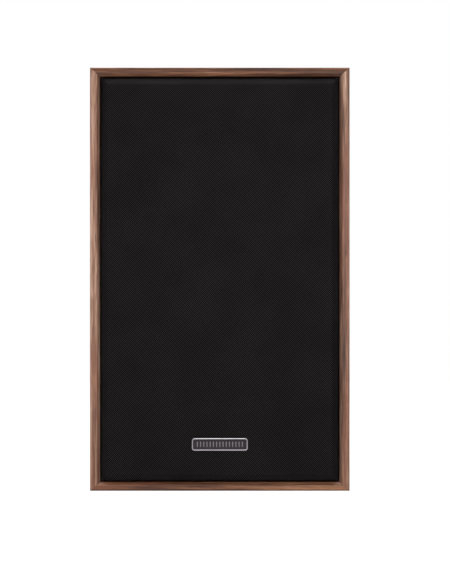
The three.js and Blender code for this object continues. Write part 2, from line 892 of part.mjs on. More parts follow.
add("grille_frame", grilleFrame(), materials.grillePlastic);
add("grille_cloth", grilleCloth(), materials.grilleCloth);
add("badge", badgePlate(), materials.badge);
pegs.forEach((at, i) => add(`grille_socket_${i + 1}`, grilleSocket(at), materials.blackPlastic));

export default group;
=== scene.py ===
# %% [markdown]
# # A bookshelf speaker
# The speaker is a mitred wooden box with a cloth grille pressed into its front. Behind the grille are a
# woofer and a dome tweeter, and at the back a port and two binding posts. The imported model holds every
# size, place and joint. This script dresses it: each visible piece is worked out again as a smooth
# surface in the same place, and gets a finish made of nodes.

import bmesh
import bpy
import numpy as np
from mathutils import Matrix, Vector


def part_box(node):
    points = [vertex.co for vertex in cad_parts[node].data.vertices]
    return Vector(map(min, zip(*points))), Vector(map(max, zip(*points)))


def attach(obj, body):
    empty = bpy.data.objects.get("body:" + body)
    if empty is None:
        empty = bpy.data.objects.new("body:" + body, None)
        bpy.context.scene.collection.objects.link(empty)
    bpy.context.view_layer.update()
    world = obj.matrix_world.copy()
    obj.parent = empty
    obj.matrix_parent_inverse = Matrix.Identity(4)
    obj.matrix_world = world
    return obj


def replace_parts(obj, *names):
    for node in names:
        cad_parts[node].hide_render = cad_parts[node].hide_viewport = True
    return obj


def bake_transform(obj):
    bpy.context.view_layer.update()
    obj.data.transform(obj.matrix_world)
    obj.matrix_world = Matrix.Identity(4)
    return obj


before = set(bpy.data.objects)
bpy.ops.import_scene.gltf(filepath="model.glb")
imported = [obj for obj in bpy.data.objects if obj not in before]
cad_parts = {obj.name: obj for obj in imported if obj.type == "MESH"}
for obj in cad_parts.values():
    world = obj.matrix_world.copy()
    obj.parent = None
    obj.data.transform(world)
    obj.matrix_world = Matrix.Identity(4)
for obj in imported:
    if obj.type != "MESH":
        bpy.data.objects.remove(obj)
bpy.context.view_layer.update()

# %% [markdown]
# Every place is read from the frame, so that a new pack moves the looks with it. Depth runs along y,
# and the front of the speaker faces -y, so a smaller y is nearer to the listener.

# %% Places read from the frame
mm = 0.001


def span(node):
    """The lowest and highest corners of a CAD node, as arrays."""
    low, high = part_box(node)
    return np.array(low), np.array(high)


def middle(node):
    """The centre of a CAD node's box."""
    low, high = span(node)
    return (low + high) / 2


def radius(node):
    """Half of a round CAD node's width."""
    low, high = span(node)
    return (high[2] - low[2]) / 2


LEFT, RIGHT = span("left_side_panel")[0][0], span("right_side_panel")[1][0]
HEIGHT = span("top_panel")[1][2]
FRONT, REAR = span("left_side_panel")[0][1], span("left_side_panel")[1][1]
SIDE = span("left_side_panel")[1][0] - LEFT
BOARD = span("bottom_panel")[1][2]
BAFFLE, BAFFLE_BACK = span("front_baffle")[0][1], span("front_baffle")[1][1]
REAR_INNER, REAR_FACE = span("rear_panel")[0][1], span("rear_panel")[1][1]
WOOFER, TWEETER, PORT = middle("woofer_basket"), middle("tweeter_faceplate"), middle("port_tube")
print("cabinet, mm:", [round(v / mm, 1) for v in (RIGHT - LEFT, REAR - FRONT, HEIGHT)])

# %% [markdown]
# ## Tools for surfaces
# A surface is a grid of points: one direction runs along an outline, the other along a path. The
# points are worked out as whole arrays, and neighbouring points are joined into four-sided faces.


# %% Mesh tools
def grid_faces(rows, columns, rows_close=False, columns_close=False):
    """Faces of a grid whose point (i, j) is number i * columns + j. A closed direction joins its last
    point to its first."""
    i, j = np.meshgrid(
        np.arange(rows - (not rows_close)), np.arange(columns - (not columns_close)), indexing="ij"
    )
    i_next, j_next = (i + 1) % rows, (j + 1) % columns
    corners = [i * columns + j, i * columns + j_next, i_next * columns + j_next, i_next * columns + j]
    return np.stack(corners, axis=-1).reshape(-1, 4).tolist()


SHARP_ABOVE = 32


def shape_from(name, points, faces, flat_above=SHARP_ABOVE):
    """A closed mesh from an array of points: doubles are merged, the faces are turned outwards, and
    edges sharper than flat_above degrees stay crisp."""
    mesh = bpy.data.meshes.new(name)
    mesh.from_pydata(np.asarray(points).reshape(-1, 3).tolist(), [], faces)
    work = bmesh.new()
    work.from_mesh(mesh)
    bmesh.ops.remove_doubles(work, verts=work.verts, dist=1e-6)
    bmesh.ops.dissolve_degenerate(work, edges=work.edges, dist=1e-7)
    bmesh.ops.recalc_face_normals(work, faces=work.faces)
    work.to_mesh(mesh)
    work.free()
    mesh.shade_smooth()
    mesh.set_sharp_from_angle(angle=np.radians(flat_above))
    piece = bpy.data.objects.new(name, mesh)
    bpy.context.scene.collection.objects.link(piece)
    return piece


def eased(points, ease=0.4 * mm, steps=3, closed=True):
    """An outline with its corners softened. Each corner p is cut back to a and b on its two sides, and
    replaced by the curve (1-t)^2 a + 2t(1-t) p + t^2 b. An open outline keeps its two ends."""
    p = np.asarray(points, float)
    to_last, to_next = np.roll(p, 1, 0) - p, np.roll(p, -1, 0) - p
    last_length = np.linalg.norm(to_last, axis=1, keepdims=True)
    next_length = np.linalg.norm(to_next, axis=1, keepdims=True)
    wanted = np.broadcast_to(ease, len(p)).astype(float)[:, None].copy()
    if not closed:
        wanted[[0, -1]] = 0
    back = np.minimum(wanted, 0.45 * np.minimum(last_length, next_length))
    a, b = p + to_last / last_length * back, p + to_next / next_length * back
    t = np.linspace(0, 1, steps + 1)[None, :, None]
    curve = (1 - t) ** 2 * a[:, None] + 2 * t * (1 - t) * p[:, None] + t**2 * b[:, None]
    curve = curve.reshape(-1, p.shape[1])
    moved = np.linalg.norm(np.diff(curve, axis=0), axis=1) > 1e-9
    return curve[np.concatenate([[True], moved])]


def arc(centre, reach, start, end, steps):
    """Points round a circle: centre + reach * (cos a, sin a), with a in degrees from start to end."""
    angle = np.radians(np.linspace(start, end, steps + 1))
    return np.asarray(centre) + reach * np.stack([np.cos(angle), np.sin(angle)], axis=1)


# %% [markdown]
# Most of a loudspeaker is turned: cones, magnets, rings, the port and even the screws. One function
# makes them all, and it can also press flutes into a knob by letting the radius change with the angle.


# %% Turned, stacked and swept pieces
def turned(name, profile, centre, sides=96, flute=None, flat_above=SHARP_ABOVE):
    """A profile of (radius, y) points turned about a front-to-back axis: x = cx + r cos a and
    z = cz + r sin a. flute(a, y) gives a factor for r. A profile that ends on the axis closes there."""
    profile = np.asarray(profile, float)
    on_axis = abs(profile[0, 0]) < 1e-9
    angle = np.linspace(0, 2 * np.pi, sides, endpoint=False)[None, :]
    r, y = profile[:, 0][:, None], profile[:, 1][:, None]
    if flute is not None:
        r = r * flute(angle, y)
    x, z = centre[0] + r * np.cos(angle), centre[-1] + r * np.sin(angle)
    points = np.stack([x, np.broadcast_to(y, x.shape), z], axis=-1)
    return shape_from(name, points, grid_faces(len(profile), sides, not on_axis, True), flat_above)


def rounded_rect(centre, size, corner, steps=6):
    """Gives a function of an inset: the outline (x, z) of a rectangle with round corners, drawn in."""

    def outline(inset=0.0):
        half = np.asarray(size) / 2 - inset
        round_by = max(corner - inset, 0.05 * mm)
        quarters = []
        for start, (sx, sz) in zip((0, 90, 180, 270), ((1, 1), (-1, 1), (-1, -1), (1, -1))):
            at = np.asarray(centre) + np.array([sx, sz]) * (half - round_by)
            quarters.append(arc(at, round_by, start, start + 90, steps))
        return np.concatenate(quarters)

    return outline


def stacked(name, outline, levels, flat_above=SHARP_ABOVE):
    """A solid from one outline, drawn in by an inset at each depth: levels are (inset, y) pairs. The
    first and last level are closed with a flat face."""
    rings = []
    for inset, y in levels:
        flat = outline(inset)
        rings.append(np.stack([flat[:, 0], np.full(len(flat), y), flat[:, 1]], axis=1))
    count = len(rings[0])
    total = len(rings) * count
    caps = [list(range(count)), list(range(total - count, total))]
    return shape_from(name, rings, grid_faces(len(rings), count, False, True) + caps, flat_above)


def slab(name, outline, y0, y1, ease=0.3 * mm):
    """A plate between two depths with softened edges."""
    return stacked(name, outline, [(ease, y0), (0, y0 + ease), (0, y1 - ease), (ease, y1)])


def carve(piece, *cutters):
    """Cuts other solids out of a piece, removes them, and keeps the result as the piece's mesh."""
    for cutter in cutters:
        step = piece.modifiers.new("cut", "BOOLEAN")
        step.operation, step.solver, step.object = "DIFFERENCE", "EXACT", cutter
    bpy.context.view_layer.update()
    cut = bpy.data.meshes.new_from_object(piece.evaluated_get(bpy.context.evaluated_depsgraph_get()))
    piece.modifiers.clear()
    piece.data = cut
    for cutter in cutters:
        bpy.data.objects.remove(cutter)
    cut.shade_smooth()
    cut.set_sharp_from_angle(angle=np.radians(SHARP_ABOVE))
    return piece


def merged(name, pieces):
    """Several solids as one piece."""
    work = bmesh.new()
    for piece in pieces:
        work.from_mesh(piece.data)
    mesh = bpy.data.meshes.new(name)
    work.to_mesh(mesh)
    work.free()
    for piece in pieces:
        bpy.data.objects.remove(piece)
    mesh.set_sharp_from_angle(angle=np.radians(SHARP_ABOVE))
    made = bpy.data.objects.new(name, mesh)
    bpy.context.scene.collection.objects.link(made)
    return made


# %% [markdown]
# ## Tools for finishes
# A finish is a Principled BSDF with something worked out in front of it. `Signal` wraps a socket so
# that shader maths reads like a sum: `grain * 0.5 + pores` adds its Math nodes by itself.


# %% Finish tools
def colour(code):
    """A linear colour from the six hex digits that a paint program shows."""
    levels = np.array([int(code[i : i + 2], 16) for i in (0, 2, 4)]) / 255
    linear = np.where(levels <= 0.04045, levels / 12.92, ((levels + 0.055) / 1.055) ** 2.4)
    return (*linear.tolist(), 1.0)


class Signal:
    """A value that changes over the surface: one output socket of a finish's nodes."""

    def __init__(self, finish, socket):
        self.finish, self.socket = finish, socket

    def math(self, operation, *others):
        """Any operation of the Math node, with this value first."""
        return self.finish.node("Math", {"operation": operation}, dict(enumerate((self, *others))))

    def __add__(self, other):
        return self.math("ADD", other)

    def __mul__(self, other):
        return self.math("MULTIPLY", other)

    def __sub__(self, other):
        return self.math("SUBTRACT", other)

    def __rsub__(self, other):
        return self.finish.node("Math", {"operation": "SUBTRACT"}, {0: other, 1: self})

    __radd__, __rmul__ = __add__, __mul__

    def wave(self, length):
        """cos(2 pi s / length), for a value s in metres."""
        return (self * (2 * np.pi / length)).math("COSINE")

    def rise(self, low, high, start=0.0, end=1.0):
        """A smooth step from start to end while the value goes from low to high."""
        settings = {"interpolation_type": "SMOOTHSTEP"}
        sizes = {"Value": self, "From Min": low, "From Max": high, "To Min": start, "To Max": end}
        return self.finish.node("MapRange", settings, sizes)


class Finish:
    """A material being made. Its fixed values go straight onto the shader's own sockets."""

    def __init__(self, name, fixed):
        self.material = bpy.data.materials.new(name)
        self.material.use_nodes = True
        self.shader = self.material.node_tree.nodes["Principled BSDF"]
        for socket, value in fixed.items():
            self.shader.inputs[socket].default_value = value
        self.place = self.node("TexCoord", output="Object")

    def node(self, kind, settings=None, inputs=None, output=0):
        """Adds a node: its settings first, then the values or links of its sockets."""
        made = self.material.node_tree.nodes.new("ShaderNode" + kind)
        for key, value in (settings or {}).items():
            if key == "stops":
                self.fill_ramp(made.color_ramp, value)
            else:
                setattr(made, key, value)
        for key, value in (inputs or {}).items():
            if isinstance(value, Signal):
                self.material.node_tree.links.new(value.socket, made.inputs[key])
            else:
                made.inputs[key].default_value = value
        return Signal(self, made.outputs[output])

    @staticmethod
    def fill_ramp(ramp, stops):
        """Sets a ramp's stops, given as (position, colour) pairs from left to right."""
        while len(ramp.elements) < len(stops):
            ramp.elements.new(0.5)
        for element, (position, value) in zip(ramp.elements, stops):
            element.position, element.color = position, value

    def axes(self, vector=None):
        """The x, y and z of a vector, as three signals."""
        source = {"Vector": vector or self.place}
        split = self.node("SeparateXYZ", inputs=source)
        return [Signal(self, socket) for socket in split.socket.node.outputs]

    def stretched(self, scale, shift=(0.0, 0.0, 0.0)):
        """The place on the object, multiplied along each axis and then shifted."""
        return self.node("Mapping", inputs={"Vector": self.place, "Scale": scale, "Location": shift})

    def noise(self, per_metre, detail=3.0, rough=0.55, vector=None, twist=0.0):
        """Cloudy noise, about 0.5 on average, with so many clouds to a metre."""
        sizes = {"Vector": vector or self.place, "Scale": per_metre, "Detail": detail}
        return self.node("TexNoise", inputs={**sizes, "Roughness": rough, "Distortion": twist})

    def ramp(self, signal, stops):
        """Turns a value into a colour by way of (position, colour) stops."""
        return self.node("ValToRGB", {"stops": stops}, {0: signal})

    def mix(self, factor, a, b):
        """A colour between a and b."""
        return self.node("Mix", {"data_type": "RGBA"}, {0: factor, 6: a, 7: b}, output=2)

    def bump(self, height, depth):
        """Turns a height from 0 to 1 into a normal, depth metres high."""
        sizes = {"Height": height, "Distance": depth, "Strength": 1.0}
        return self.node("Bump", inputs=sizes)

    def feed(self, socket, signal):
        """Links a value to one of the shader's sockets."""
        self.material.node_tree.links.new(signal.socket, self.shader.inputs[socket])
        return self


def present(piece, body, slot, finish, *nodes):
    """Gives a piece its finish and its body, and hides the CAD nodes that it stands for. The slot is not
    used.
    """
    piece.data.materials.clear()
    piece.data.materials.append(finish.material)
    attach(piece, body)
    if nodes:
        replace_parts(piece, *nodes)
    return piece


# %% [markdown]
# ## Walnut foil
# The cabinet is wrapped in a printed walnut foil. Walnut shows three things at once: broad bands of
# tone, streaks a few millimetres wide that run the length of the board, and dark open pores like short
# pencil dashes. Each is noise squeezed along the grain. A slow wave across the grain, pushed about by
# wide noise, adds the wandering lines of the growth rings. The grain follows each board, so the foil on
# the top and bottom is the same finish turned a quarter, but its shades are painted darker and redder
# as painted shade, while the side boards' paler, greyer shades are a painted sheen. The chamfer round
# the grille is painted darker as well, as painted shade from the proud grille beside it: a smooth step on
# the distance from the outer face finds it. Away from the front edges the figure is calmer, because a
# large board covered in strong streaks looks like zebrano.


# %% Walnut
PATTERN_START = 130 * mm
MIDDLE_TONE = 0.49


def walnut(name, along, outer, face, shades, chamfer_shade):
    """Walnut foil whose grain runs along one axis, 0 for x or 2 for z. outer(x, z) is the depth under
    the outer face, face is how deep the chamfer starts, and the last value sets the chamfer's painted
    shade."""
    made = Finish(name, {"Specular IOR Level": 0.3, "Coat Roughness": 0.4, "Coat Weight": 0.06})

    def squeezed(share):
        scale, shift = [1.0, 1.0, 1.0], [0.0, 0.0, 0.0]
        scale[along], shift[along] = share, PATTERN_START * share
        return made.stretched(scale, shift)

    x, y, z = made.axes()
    across = (x if along == 2 else z) * 0.8 + y
    drift = made.noise(7, 2, 0.5, squeezed(0.3))
    figure = (across + drift * (60 * mm)).wave(13 * mm)
    bands = made.noise(60, 2, 0.5, squeezed(0.05), 0.4)
    streaks = made.noise(430, 3, 0.6, squeezed(0.014), 0.15)
    flecks = made.noise(750, 2, 0.55, squeezed(0.05))
    pores = made.noise(1700, 2, 0.5, squeezed(0.04)).rise(0.60, 0.70)
    tone = bands * 0.22 + streaks * 0.40 + flecks * 0.26 + figure * 0.022 + 0.06
    calm = y.rise(FRONT + 2 * mm, FRONT + 5 * mm, 1, 0.6)
    tone = (tone - MIDDLE_TONE) * calm + MIDDLE_TONE
    positions = (0.38, 0.45, 0.50, 0.55, 0.63)
    base = made.ramp(tone, [(at, colour(shade)) for at, shade in zip(positions, shades)])
    red_share = made.noise(90, 2, 0.5, squeezed(0.06)).rise(0.48, 0.62, 0, 0.5)
    veined = made.mix(red_share, base, colour("84513c"))
    foil = made.mix(pores * 0.6, veined, colour("2c1d16"))
    # Painted shade: the chamfer beside the grille is darkened towards 2b1c15, as strongly as the last
    # value.
    under = outer(x, z).rise(face - 0.3 * mm, face + 0.5 * mm)
    near_front = y.rise(FRONT + 2.6 * mm, FRONT + 3.4 * mm, 1, 0)
    made.feed("Base Color", made.mix(under * near_front * chamfer_shade, foil, colour("2b1c15")))
    made.feed("Roughness", streaks.rise(0.35, 0.65, 0.46, 0.58) + pores * 0.12)
    relief = flecks * 0.4 + (1 - pores) * 0.6
    return made.feed("Normal", made.bump(relief, 0.05 * mm))


LIP = 2.7 * mm
CENTRE_X, CENTRE_Z = (LEFT + RIGHT) / 2, HEIGHT / 2
# The side boards' paler, greyer shades are painted sheen, and the top and bottom boards' darker, redder
# shades are painted shade. Each last value sets the painted shade on the chamfer.
WALNUT_UPRIGHT_SHEEN = walnut(
    "walnut_upright_sheen",
    2,
    lambda x, z: (RIGHT - LEFT) / 2 - (x - CENTRE_X).math("ABSOLUTE"),
    SIDE - LIP,
    ("3f2a1f", "66473a", "8a6652", "a98672", "c4a593"),
    0.5,
)
WALNUT_LEVEL_SHADED = walnut(
    "walnut_level_shaded",
    0,
    lambda x, z: HEIGHT / 2 - (z - CENTRE_Z).math("ABSOLUTE"),
    BOARD - LIP,
    ("3a251a", "563524", "744b35", "8c6045", "a07458"),
    0.2,
)

# %% [markdown]
# ## The four boards
# Each board is one section carried along its length. The section has a small round arris outside and a
# chamfer along the inner front edge, which frames the grille. The ends are mitred: a point that lies
# deeper in the board starts later along its length, so the end face comes out at the corner's angle.

# %% Cabinet boards
MITRE_LINE = 0.06 * mm
ARRIS, LIP_EASE, BACK_EASE = 0.9 * mm, 0.5 * mm, 0.5 * mm


def board(name, thick, other_thick, length, place):
    """A mitred board. Its section is (depth under the outer face, y), and a point at depth d runs from
    d * other_thick / thick to the same distance from the far end. place(d, y, along) gives (x, y, z)."""
    corners = [(0, FRONT), (thick - LIP, FRONT), (thick, FRONT + LIP), (thick, REAR), (0, REAR)]
    section = eased(corners, [ARRIS, LIP_EASE, LIP_EASE, BACK_EASE, BACK_EASE], steps=4)
    depth, y = section[:, 0][:, None], section[:, 1][:, None]
    share = np.linspace(0, 1, 9)[None, :]
    start = depth * other_thick / thick + MITRE_LINE
    along = start + (length - 2 * start) * share
    points = place(np.broadcast_to(depth, along.shape), np.broadcast_to(y, along.shape), along)
    rows, columns = along.shape
    caps = [[i * columns for i in range(rows)], [i * columns + columns - 1 for i in range(rows)]]
    return shape_from(name, np.stack(points, axis=-1), grid_faces(rows, columns, True) + caps)


WIDTH = RIGHT - LEFT
BOARDS = {
    "left_side_panel": (SIDE, BOARD, HEIGHT, WALNUT_UPRIGHT_SHEEN, lambda d, y, s: (LEFT + d, y, s)),
    "right_side_panel": (SIDE, BOARD, HEIGHT, WALNUT_UPRIGHT_SHEEN, lambda d, y, s: (RIGHT - d, y, s)),
    "top_panel": (BOARD, SIDE, WIDTH, WALNUT_LEVEL_SHADED, lambda d, y, s: (LEFT + s, y, HEIGHT - d)),
    "bottom_panel": (BOARD, SIDE, WIDTH, WALNUT_LEVEL_SHADED, lambda d, y, s: (LEFT + s, y, d)),
}
for node, (thick, other, length, finish, place) in BOARDS.items():
    piece = board(node + "_board", thick, other, length, place)
    present(piece, "cabinet", "walnut_veneer", finish, node)
print("boards:", len(BOARDS), "with", len(piece.data.vertices), "points each")

# %% [markdown]
# ## Black boards, plastics, metals and papers
# The other finishes share a recipe: a colour that wanders a little, a roughness that wanders with it,
# and a fine relief at the size that the real surface has, from the spark texture of a mould to the
# fibres of pressed paper.


# %% Plain finishes
def plain(name, shade, rough, relief, per_metre, fixed=None, wander=0.18, detail=3.0):
    """A finish of one material: cloudy shade and roughness, and a grain of relief metres in height,
    with per_metre grains to a metre. wander is how far the shade strays from its middle."""
    made = Finish(name, fixed or {})
    clouds = made.noise(26, 3, 0.5)
    grain = made.noise(per_metre, detail, 0.6)
    base = colour(shade)
    darker = tuple(v * (1 - wander) for v in base[:3]) + (1.0,)
    lighter = tuple(min(v * (1 + wander), 1) for v in base[:3]) + (1.0,)
    made.feed("Base Color", made.mix(clouds * 0.6 + grain * 0.4, darker, lighter))
    made.feed("Roughness", clouds.rise(0.3, 0.7, rough - 0.05, rough + 0.05) + (grain - 0.5) * 0.08)
    return made.feed("Normal", made.bump(grain, relief))


METAL = {"Metallic": 1.0}
BLACK_FOIL = plain("black_foil", "1b1b1c", 0.55, 0.05 * mm, 900)
MOULDED = plain("moulded_plastic", "161616", 0.52, 0.04 * mm, 1500)
GRILLE_MOULDING = plain("grille_moulding", "121212", 0.6, 0.05 * mm, 1300)
POWDER_COAT = plain("powder_coat", "1d1d1f", 0.42, 0.05 * mm, 1100, {"Coat Weight": 0.15})
FOAM_RUBBER = plain("foam_rubber", "151515", 0.85, 0.12 * mm, 1400)
BUTYL = plain("butyl_rubber", "171718", 0.48, 0.01 * mm, 700)
PAPER_PULP = plain("paper_pulp", "212123", 0.78, 0.10 * mm, 620, detail=5)
DUST_CAP = plain("pressed_cap", "1c1c1e", 0.55, 0.03 * mm, 1000)
FERRITE = plain("ferrite", "2c2c2f", 0.7, 0.06 * mm, 500)
ZINC = plain("zinc_plate", "a9aaae", 0.34, 0.02 * mm, 800, METAL, 0.1)
BLACK_OXIDE = plain("black_oxide", "2a2a2c", 0.36, 0.02 * mm, 1200, METAL)
BRASS = plain("plated_brass", "d1ae62", 0.26, 0.01 * mm, 900, METAL, 0.08)
CIRCUIT = plain("circuit_board", "23492c", 0.42, 0.02 * mm, 700, {"Coat Weight": 0.4})
FILM = plain("capacitor_film", "b98a2a", 0.35, 0.02 * mm, 300, {"Coat Weight": 0.3})
CERAMIC = plain("resistor_ceramic", "d8d2c2", 0.75, 0.08 * mm, 900, wander=0.06)
RED_PLASTIC = plain("red_plastic", "a31919", 0.34, 0.01 * mm, 700, {"Coat Weight": 0.2}, 0.08)
BLACK_PLASTIC = plain("black_plastic", "141414", 0.34, 0.01 * mm, 700, {"Coat Weight": 0.2})
LEAD_JACKET = plain("lead_jacket", "8c2020", 0.5, 0.02 * mm, 500, wander=0.1)
WADDING = plain("wadding", "dcdad2", 0.95, 0.8 * mm, 420, {"Sheen Weight": 0.5}, 0.1, 6)
print("finishes so far:", sum(1 for m in bpy.data.materials if m.use_nodes))


# %% Finishes with a pattern
def wound_copper():
    """Enamelled wire: fine bright and dark rings across the winding's depth."""
    made = Finish("wound_copper", {"Metallic": 1.0, "Coat Weight": 0.5, "Coat Roughness": 0.15})
    turns = made.axes()[1].wave(0.7 * mm)
    made.feed("Base Color", made.mix(turns.rise(-1, 1), colour("7a3517"), colour("c8753f")))
    return made.feed("Roughness", made.noise(300).rise(0.3, 0.7, 0.22, 0.36))


def woven(name, dark, light, pitch, rough, fixed=None):
    """A plain weave seen from the front: threads cross where both waves agree."""
    made = Finish(name, fixed or {})
    x, _, z = made.axes()
    weave = x.wave(pitch) * z.wave(pitch)
    fuzz = made.noise(900, 3, 0.6)
    lit = weave.rise(-0.8, 0.8) * 0.7 + fuzz * 0.3
    made.feed("Base Color", made.mix(lit, colour(dark), colour(light)))
    made.feed("Roughness", fuzz.rise(0.3, 0.7, rough - 0.06, rough + 0.06))
    return made.feed("Normal", made.bump(weave.rise(-1, 1) + fuzz * 0.3, 0.06 * mm))


COPPER = wound_copper()
SPIDER_CLOTH = woven("doped_cloth", "6b5422", "b0914a", 0.8 * mm, 0.7)
DOME_SILK = woven("coated_silk", "232326", "36363a", 0.35 * mm, 0.5, {"Coat Weight": 0.15})


# %% [markdown]
# ## Baffle and rear panel
# Both are plain boards with holes. A hole is cut by the same turned shape that fills it, a little
# larger, so the flange of each driver sits flush in a rebate.


# %% Baffle and rear panel
def bore(at, reach, y0, y1, sides=96):
    """A plain round cutter."""
    return turned("cutter", [(0, y0), (reach, y0), (reach, y1), (0, y1)], at, sides)


def inner_board(name, node):
    """A board inside the cabinet, in the CAD board's place."""
    low, high = span(node)
    centre, size = (low + high) / 2, high - low
    outline = rounded_rect(centre[[0, 2]], size[[0, 2]], 0.3 * mm, 1)
    return slab(name, outline, low[1], high[1], 0.4 * mm)


clear = 0.3 * mm
past = 1 * mm
WOOFER_HOLE, TWEETER_HOLE, PORT_HOLE, PEG_HOLE = 73.5 * mm, 37.1 * mm, 27.8 * mm, 5 * mm
PEGS = [middle(f"grille_socket_{i}") for i in (1, 2, 3, 4)]
woofer_rebate, tweeter_rebate = 5 * mm + clear, 4 * mm + clear
baffle = carve(
    inner_board("baffle_board", "front_baffle"),
    bore(WOOFER, WOOFER_HOLE, BAFFLE - past, BAFFLE_BACK + past),
    bore(WOOFER, radius("woofer_basket") + clear, BAFFLE - past, BAFFLE + woofer_rebate),
    bore(TWEETER, TWEETER_HOLE, BAFFLE - past, BAFFLE_BACK + past),
    bore(TWEETER, radius("tweeter_faceplate") + clear, BAFFLE - past, BAFFLE + tweeter_rebate),
    *[bore(at, radius("grille_socket_1"), BAFFLE - past, BAFFLE + 1.3 * mm, 48) for at in PEGS],
    *[bore(at, PEG_HOLE, BAFFLE - past, BAFFLE_BACK + past, 48) for at in PEGS],
)
present(baffle, "cabinet", "black_baffle", BLACK_FOIL, "front_baffle")

CUP = middle("terminal_cup")
CUP_SIZE = (span("terminal_cup")[1] - span("terminal_cup")[0])[[0, 2]]
cup_wall_size = CUP_SIZE - 11 * mm
cup_hole = rounded_rect(CUP[[0, 2]], cup_wall_size + 2 * clear, 1.5 * mm, 3)
rear = carve(
    inner_board("rear_board", "rear_panel"),
    bore(PORT, PORT_HOLE, REAR_INNER - past, REAR_FACE + past),
    stacked("cutter", cup_hole, [(0, REAR_INNER - past), (0, REAR_FACE + past)]),
)
present(rear, "cabinet", "black_rear_board", BLACK_FOIL, "rear_panel")
print("baffle faces:", len(baffle.data.polygons), "rear faces:", len(rear.data.polygons))

# %% [markdown]
# ## The grille cloth
# Speaker cloth is an open black knit, pulled tight over the frame and glued behind it. It is one sheet
# here: a flat field, then a bevel, the frame's side and a narrow turn under. The cloth's own
# coordinates start as x and z. Outwards they add the length that runs in depth, so the knit goes over
# the bevel without stretching.

# %% Grille cloth, its shape
CLOTH_LOW, CLOTH_HIGH = span("grille_cloth")
GRILLE_FRONT = CLOTH_LOW[1]
GRILLE_BACK = BAFFLE - clear
cloth_size = (CLOTH_HIGH - CLOTH_LOW)[[0, 2]]
cloth_centre = ((CLOTH_HIGH + CLOTH_LOW) / 2)[[0, 2]]
BEVEL_WIDTH, BEVEL_DEPTH = 5.5 * mm, 5 * mm
CLOTH_CORNER, CLOTH_THICK = 4 * mm, 0.5 * mm
TURN_UNDER = 7 * mm


def cloth_rings():
    """The insets and depths of the cloth's rings, from the flat field outwards and round to the back,
    and how much cloth has been used at each."""
    path = [
        (BEVEL_WIDTH + 3 * mm, GRILLE_FRONT),
        (BEVEL_WIDTH, GRILLE_FRONT),
        (0, GRILLE_FRONT + BEVEL_DEPTH),
        (0, GRILLE_BACK - 0.1 * mm),
        (TURN_UNDER, GRILLE_BACK - 0.1 * mm),
    ]
    soft = eased(path, [0, 1.3 * mm, 1.3 * mm, 0.8 * mm, 0], steps=5, closed=False)
    used = np.concatenate([[0], np.cumsum(np.linalg.norm(np.diff(soft, axis=0), axis=1))])
    return soft, used


def grille_cloth():
    """The cloth as one sheet. Ring i is the grille's outline drawn in by its inset. The inner rings
    close with one flat face, and the sheet gets its thickness inwards."""
    soft, used = cloth_rings()
    outline = rounded_rect(cloth_centre, cloth_size, CLOTH_CORNER, 8)
    flat = np.stack([outline(inset) for inset in soft[:, 0]])
    depth = np.broadcast_to(soft[:, 1][:, None], flat.shape[:2])
    points = np.stack([flat[..., 0], depth, flat[..., 1]], axis=-1)
    rows, columns = depth.shape
    quarter = columns // 4
    turn = np.radians(np.repeat([0, 90, 180, 270], quarter) + np.tile(np.linspace(0, 90, quarter), 4))
    outwards = np.stack([np.cos(turn), np.sin(turn)], axis=1)
    hidden = used - (soft[0, 0] - soft[:, 0])
    laid_flat = flat + outwards[None] * hidden[:, None, None]
    mesh = bpy.data.meshes.new("grille_cloth_sheet")
    faces = [list(range(columns))] + [f[::-1] for f in grid_faces(rows, columns, False, True)]
    mesh.from_pydata(points.reshape(-1, 3).tolist(), [], faces)
    corner_of = np.zeros(len(mesh.loops), int)
    mesh.loops.foreach_get("vertex_index", corner_of)
    sheet_map = mesh.uv_layers.new(name="laid_flat")
    sheet_map.data.foreach_set("uv", laid_flat.reshape(-1, 2)[corner_of].ravel())
    mesh.shade_smooth()
    piece = bpy.data.objects.new("grille_cloth_sheet", mesh)
    bpy.context.scene.collection.objects.link(piece)
    thicken = piece.modifiers.new("thickness", "SOLIDIFY")
    thicken.thickness, thicken.offset = CLOTH_THICK, -1
    return piece, 2 * used[-1] + (cloth_size - 2 * soft[0][0])


# %% [markdown]
# The knit has a loop at every crossing of a diagonal grid, which is what the product of two cosines
# gives: light where a loop of yarn stands up, black in the holes between. Every second diagonal course
# is a little lighter. FIRST_LOOP is where the pattern starts, and it and the pitch KNIT are a choice
# of look for the front view, so they are no measure of a real cloth.

# %% Grille cloth, its knit
KNIT = 1.808 * mm
FIRST_LOOP = (-0.273 * mm, -0.434 * mm)


def knit_cloth():
    """Black knit: loops at cos(2 pi u / k) * cos(2 pi v / k), with fuzz, slow uneven patches and
    courses at cos(2 pi (u + v) / 2k)."""
    made = Finish("speaker_knit", {"Specular IOR Level": 0.03})
    laid_flat = made.node("UVMap", {"uv_map": "laid_flat"})
    u, v, _ = made.axes(laid_flat)
    u, v = u - FIRST_LOOP[0], v - FIRST_LOOP[1]
    loops = u.wave(KNIT) * v.wave(KNIT)
    fuzz = made.noise(1600, 3, 0.6)
    patches = made.noise(24, 3, 0.5)
    yarn = made.mix(patches.rise(0.3, 0.7), colour("4a4445"), colour("554f50"))
    courses = (u + v).wave(2 * KNIT)
    lit = loops.rise(0.4, 0.95) * (0.55 + fuzz * 0.9) * (1 + courses * 0.15)
    made.feed("Base Color", made.mix(lit, colour("010101"), yarn))
    made.feed("Roughness", fuzz.rise(0.3, 0.7, 0.72, 0.88))
    return made.feed("Normal", made.bump(loops.rise(-1, 1) * 0.8 + fuzz * 0.2, 0.16 * mm))


cloth, cloth_flat = grille_cloth()
present(cloth, "grille", "grille_cloth", knit_cloth(), "grille_cloth")
print("cloth cut, mm:", (cloth_flat / mm).round(1))

# %% [markdown]
# The frame under the cloth is one moulding with two windows and four pegs that push into the sockets
# in the baffle. It is seen only when the grille is off.

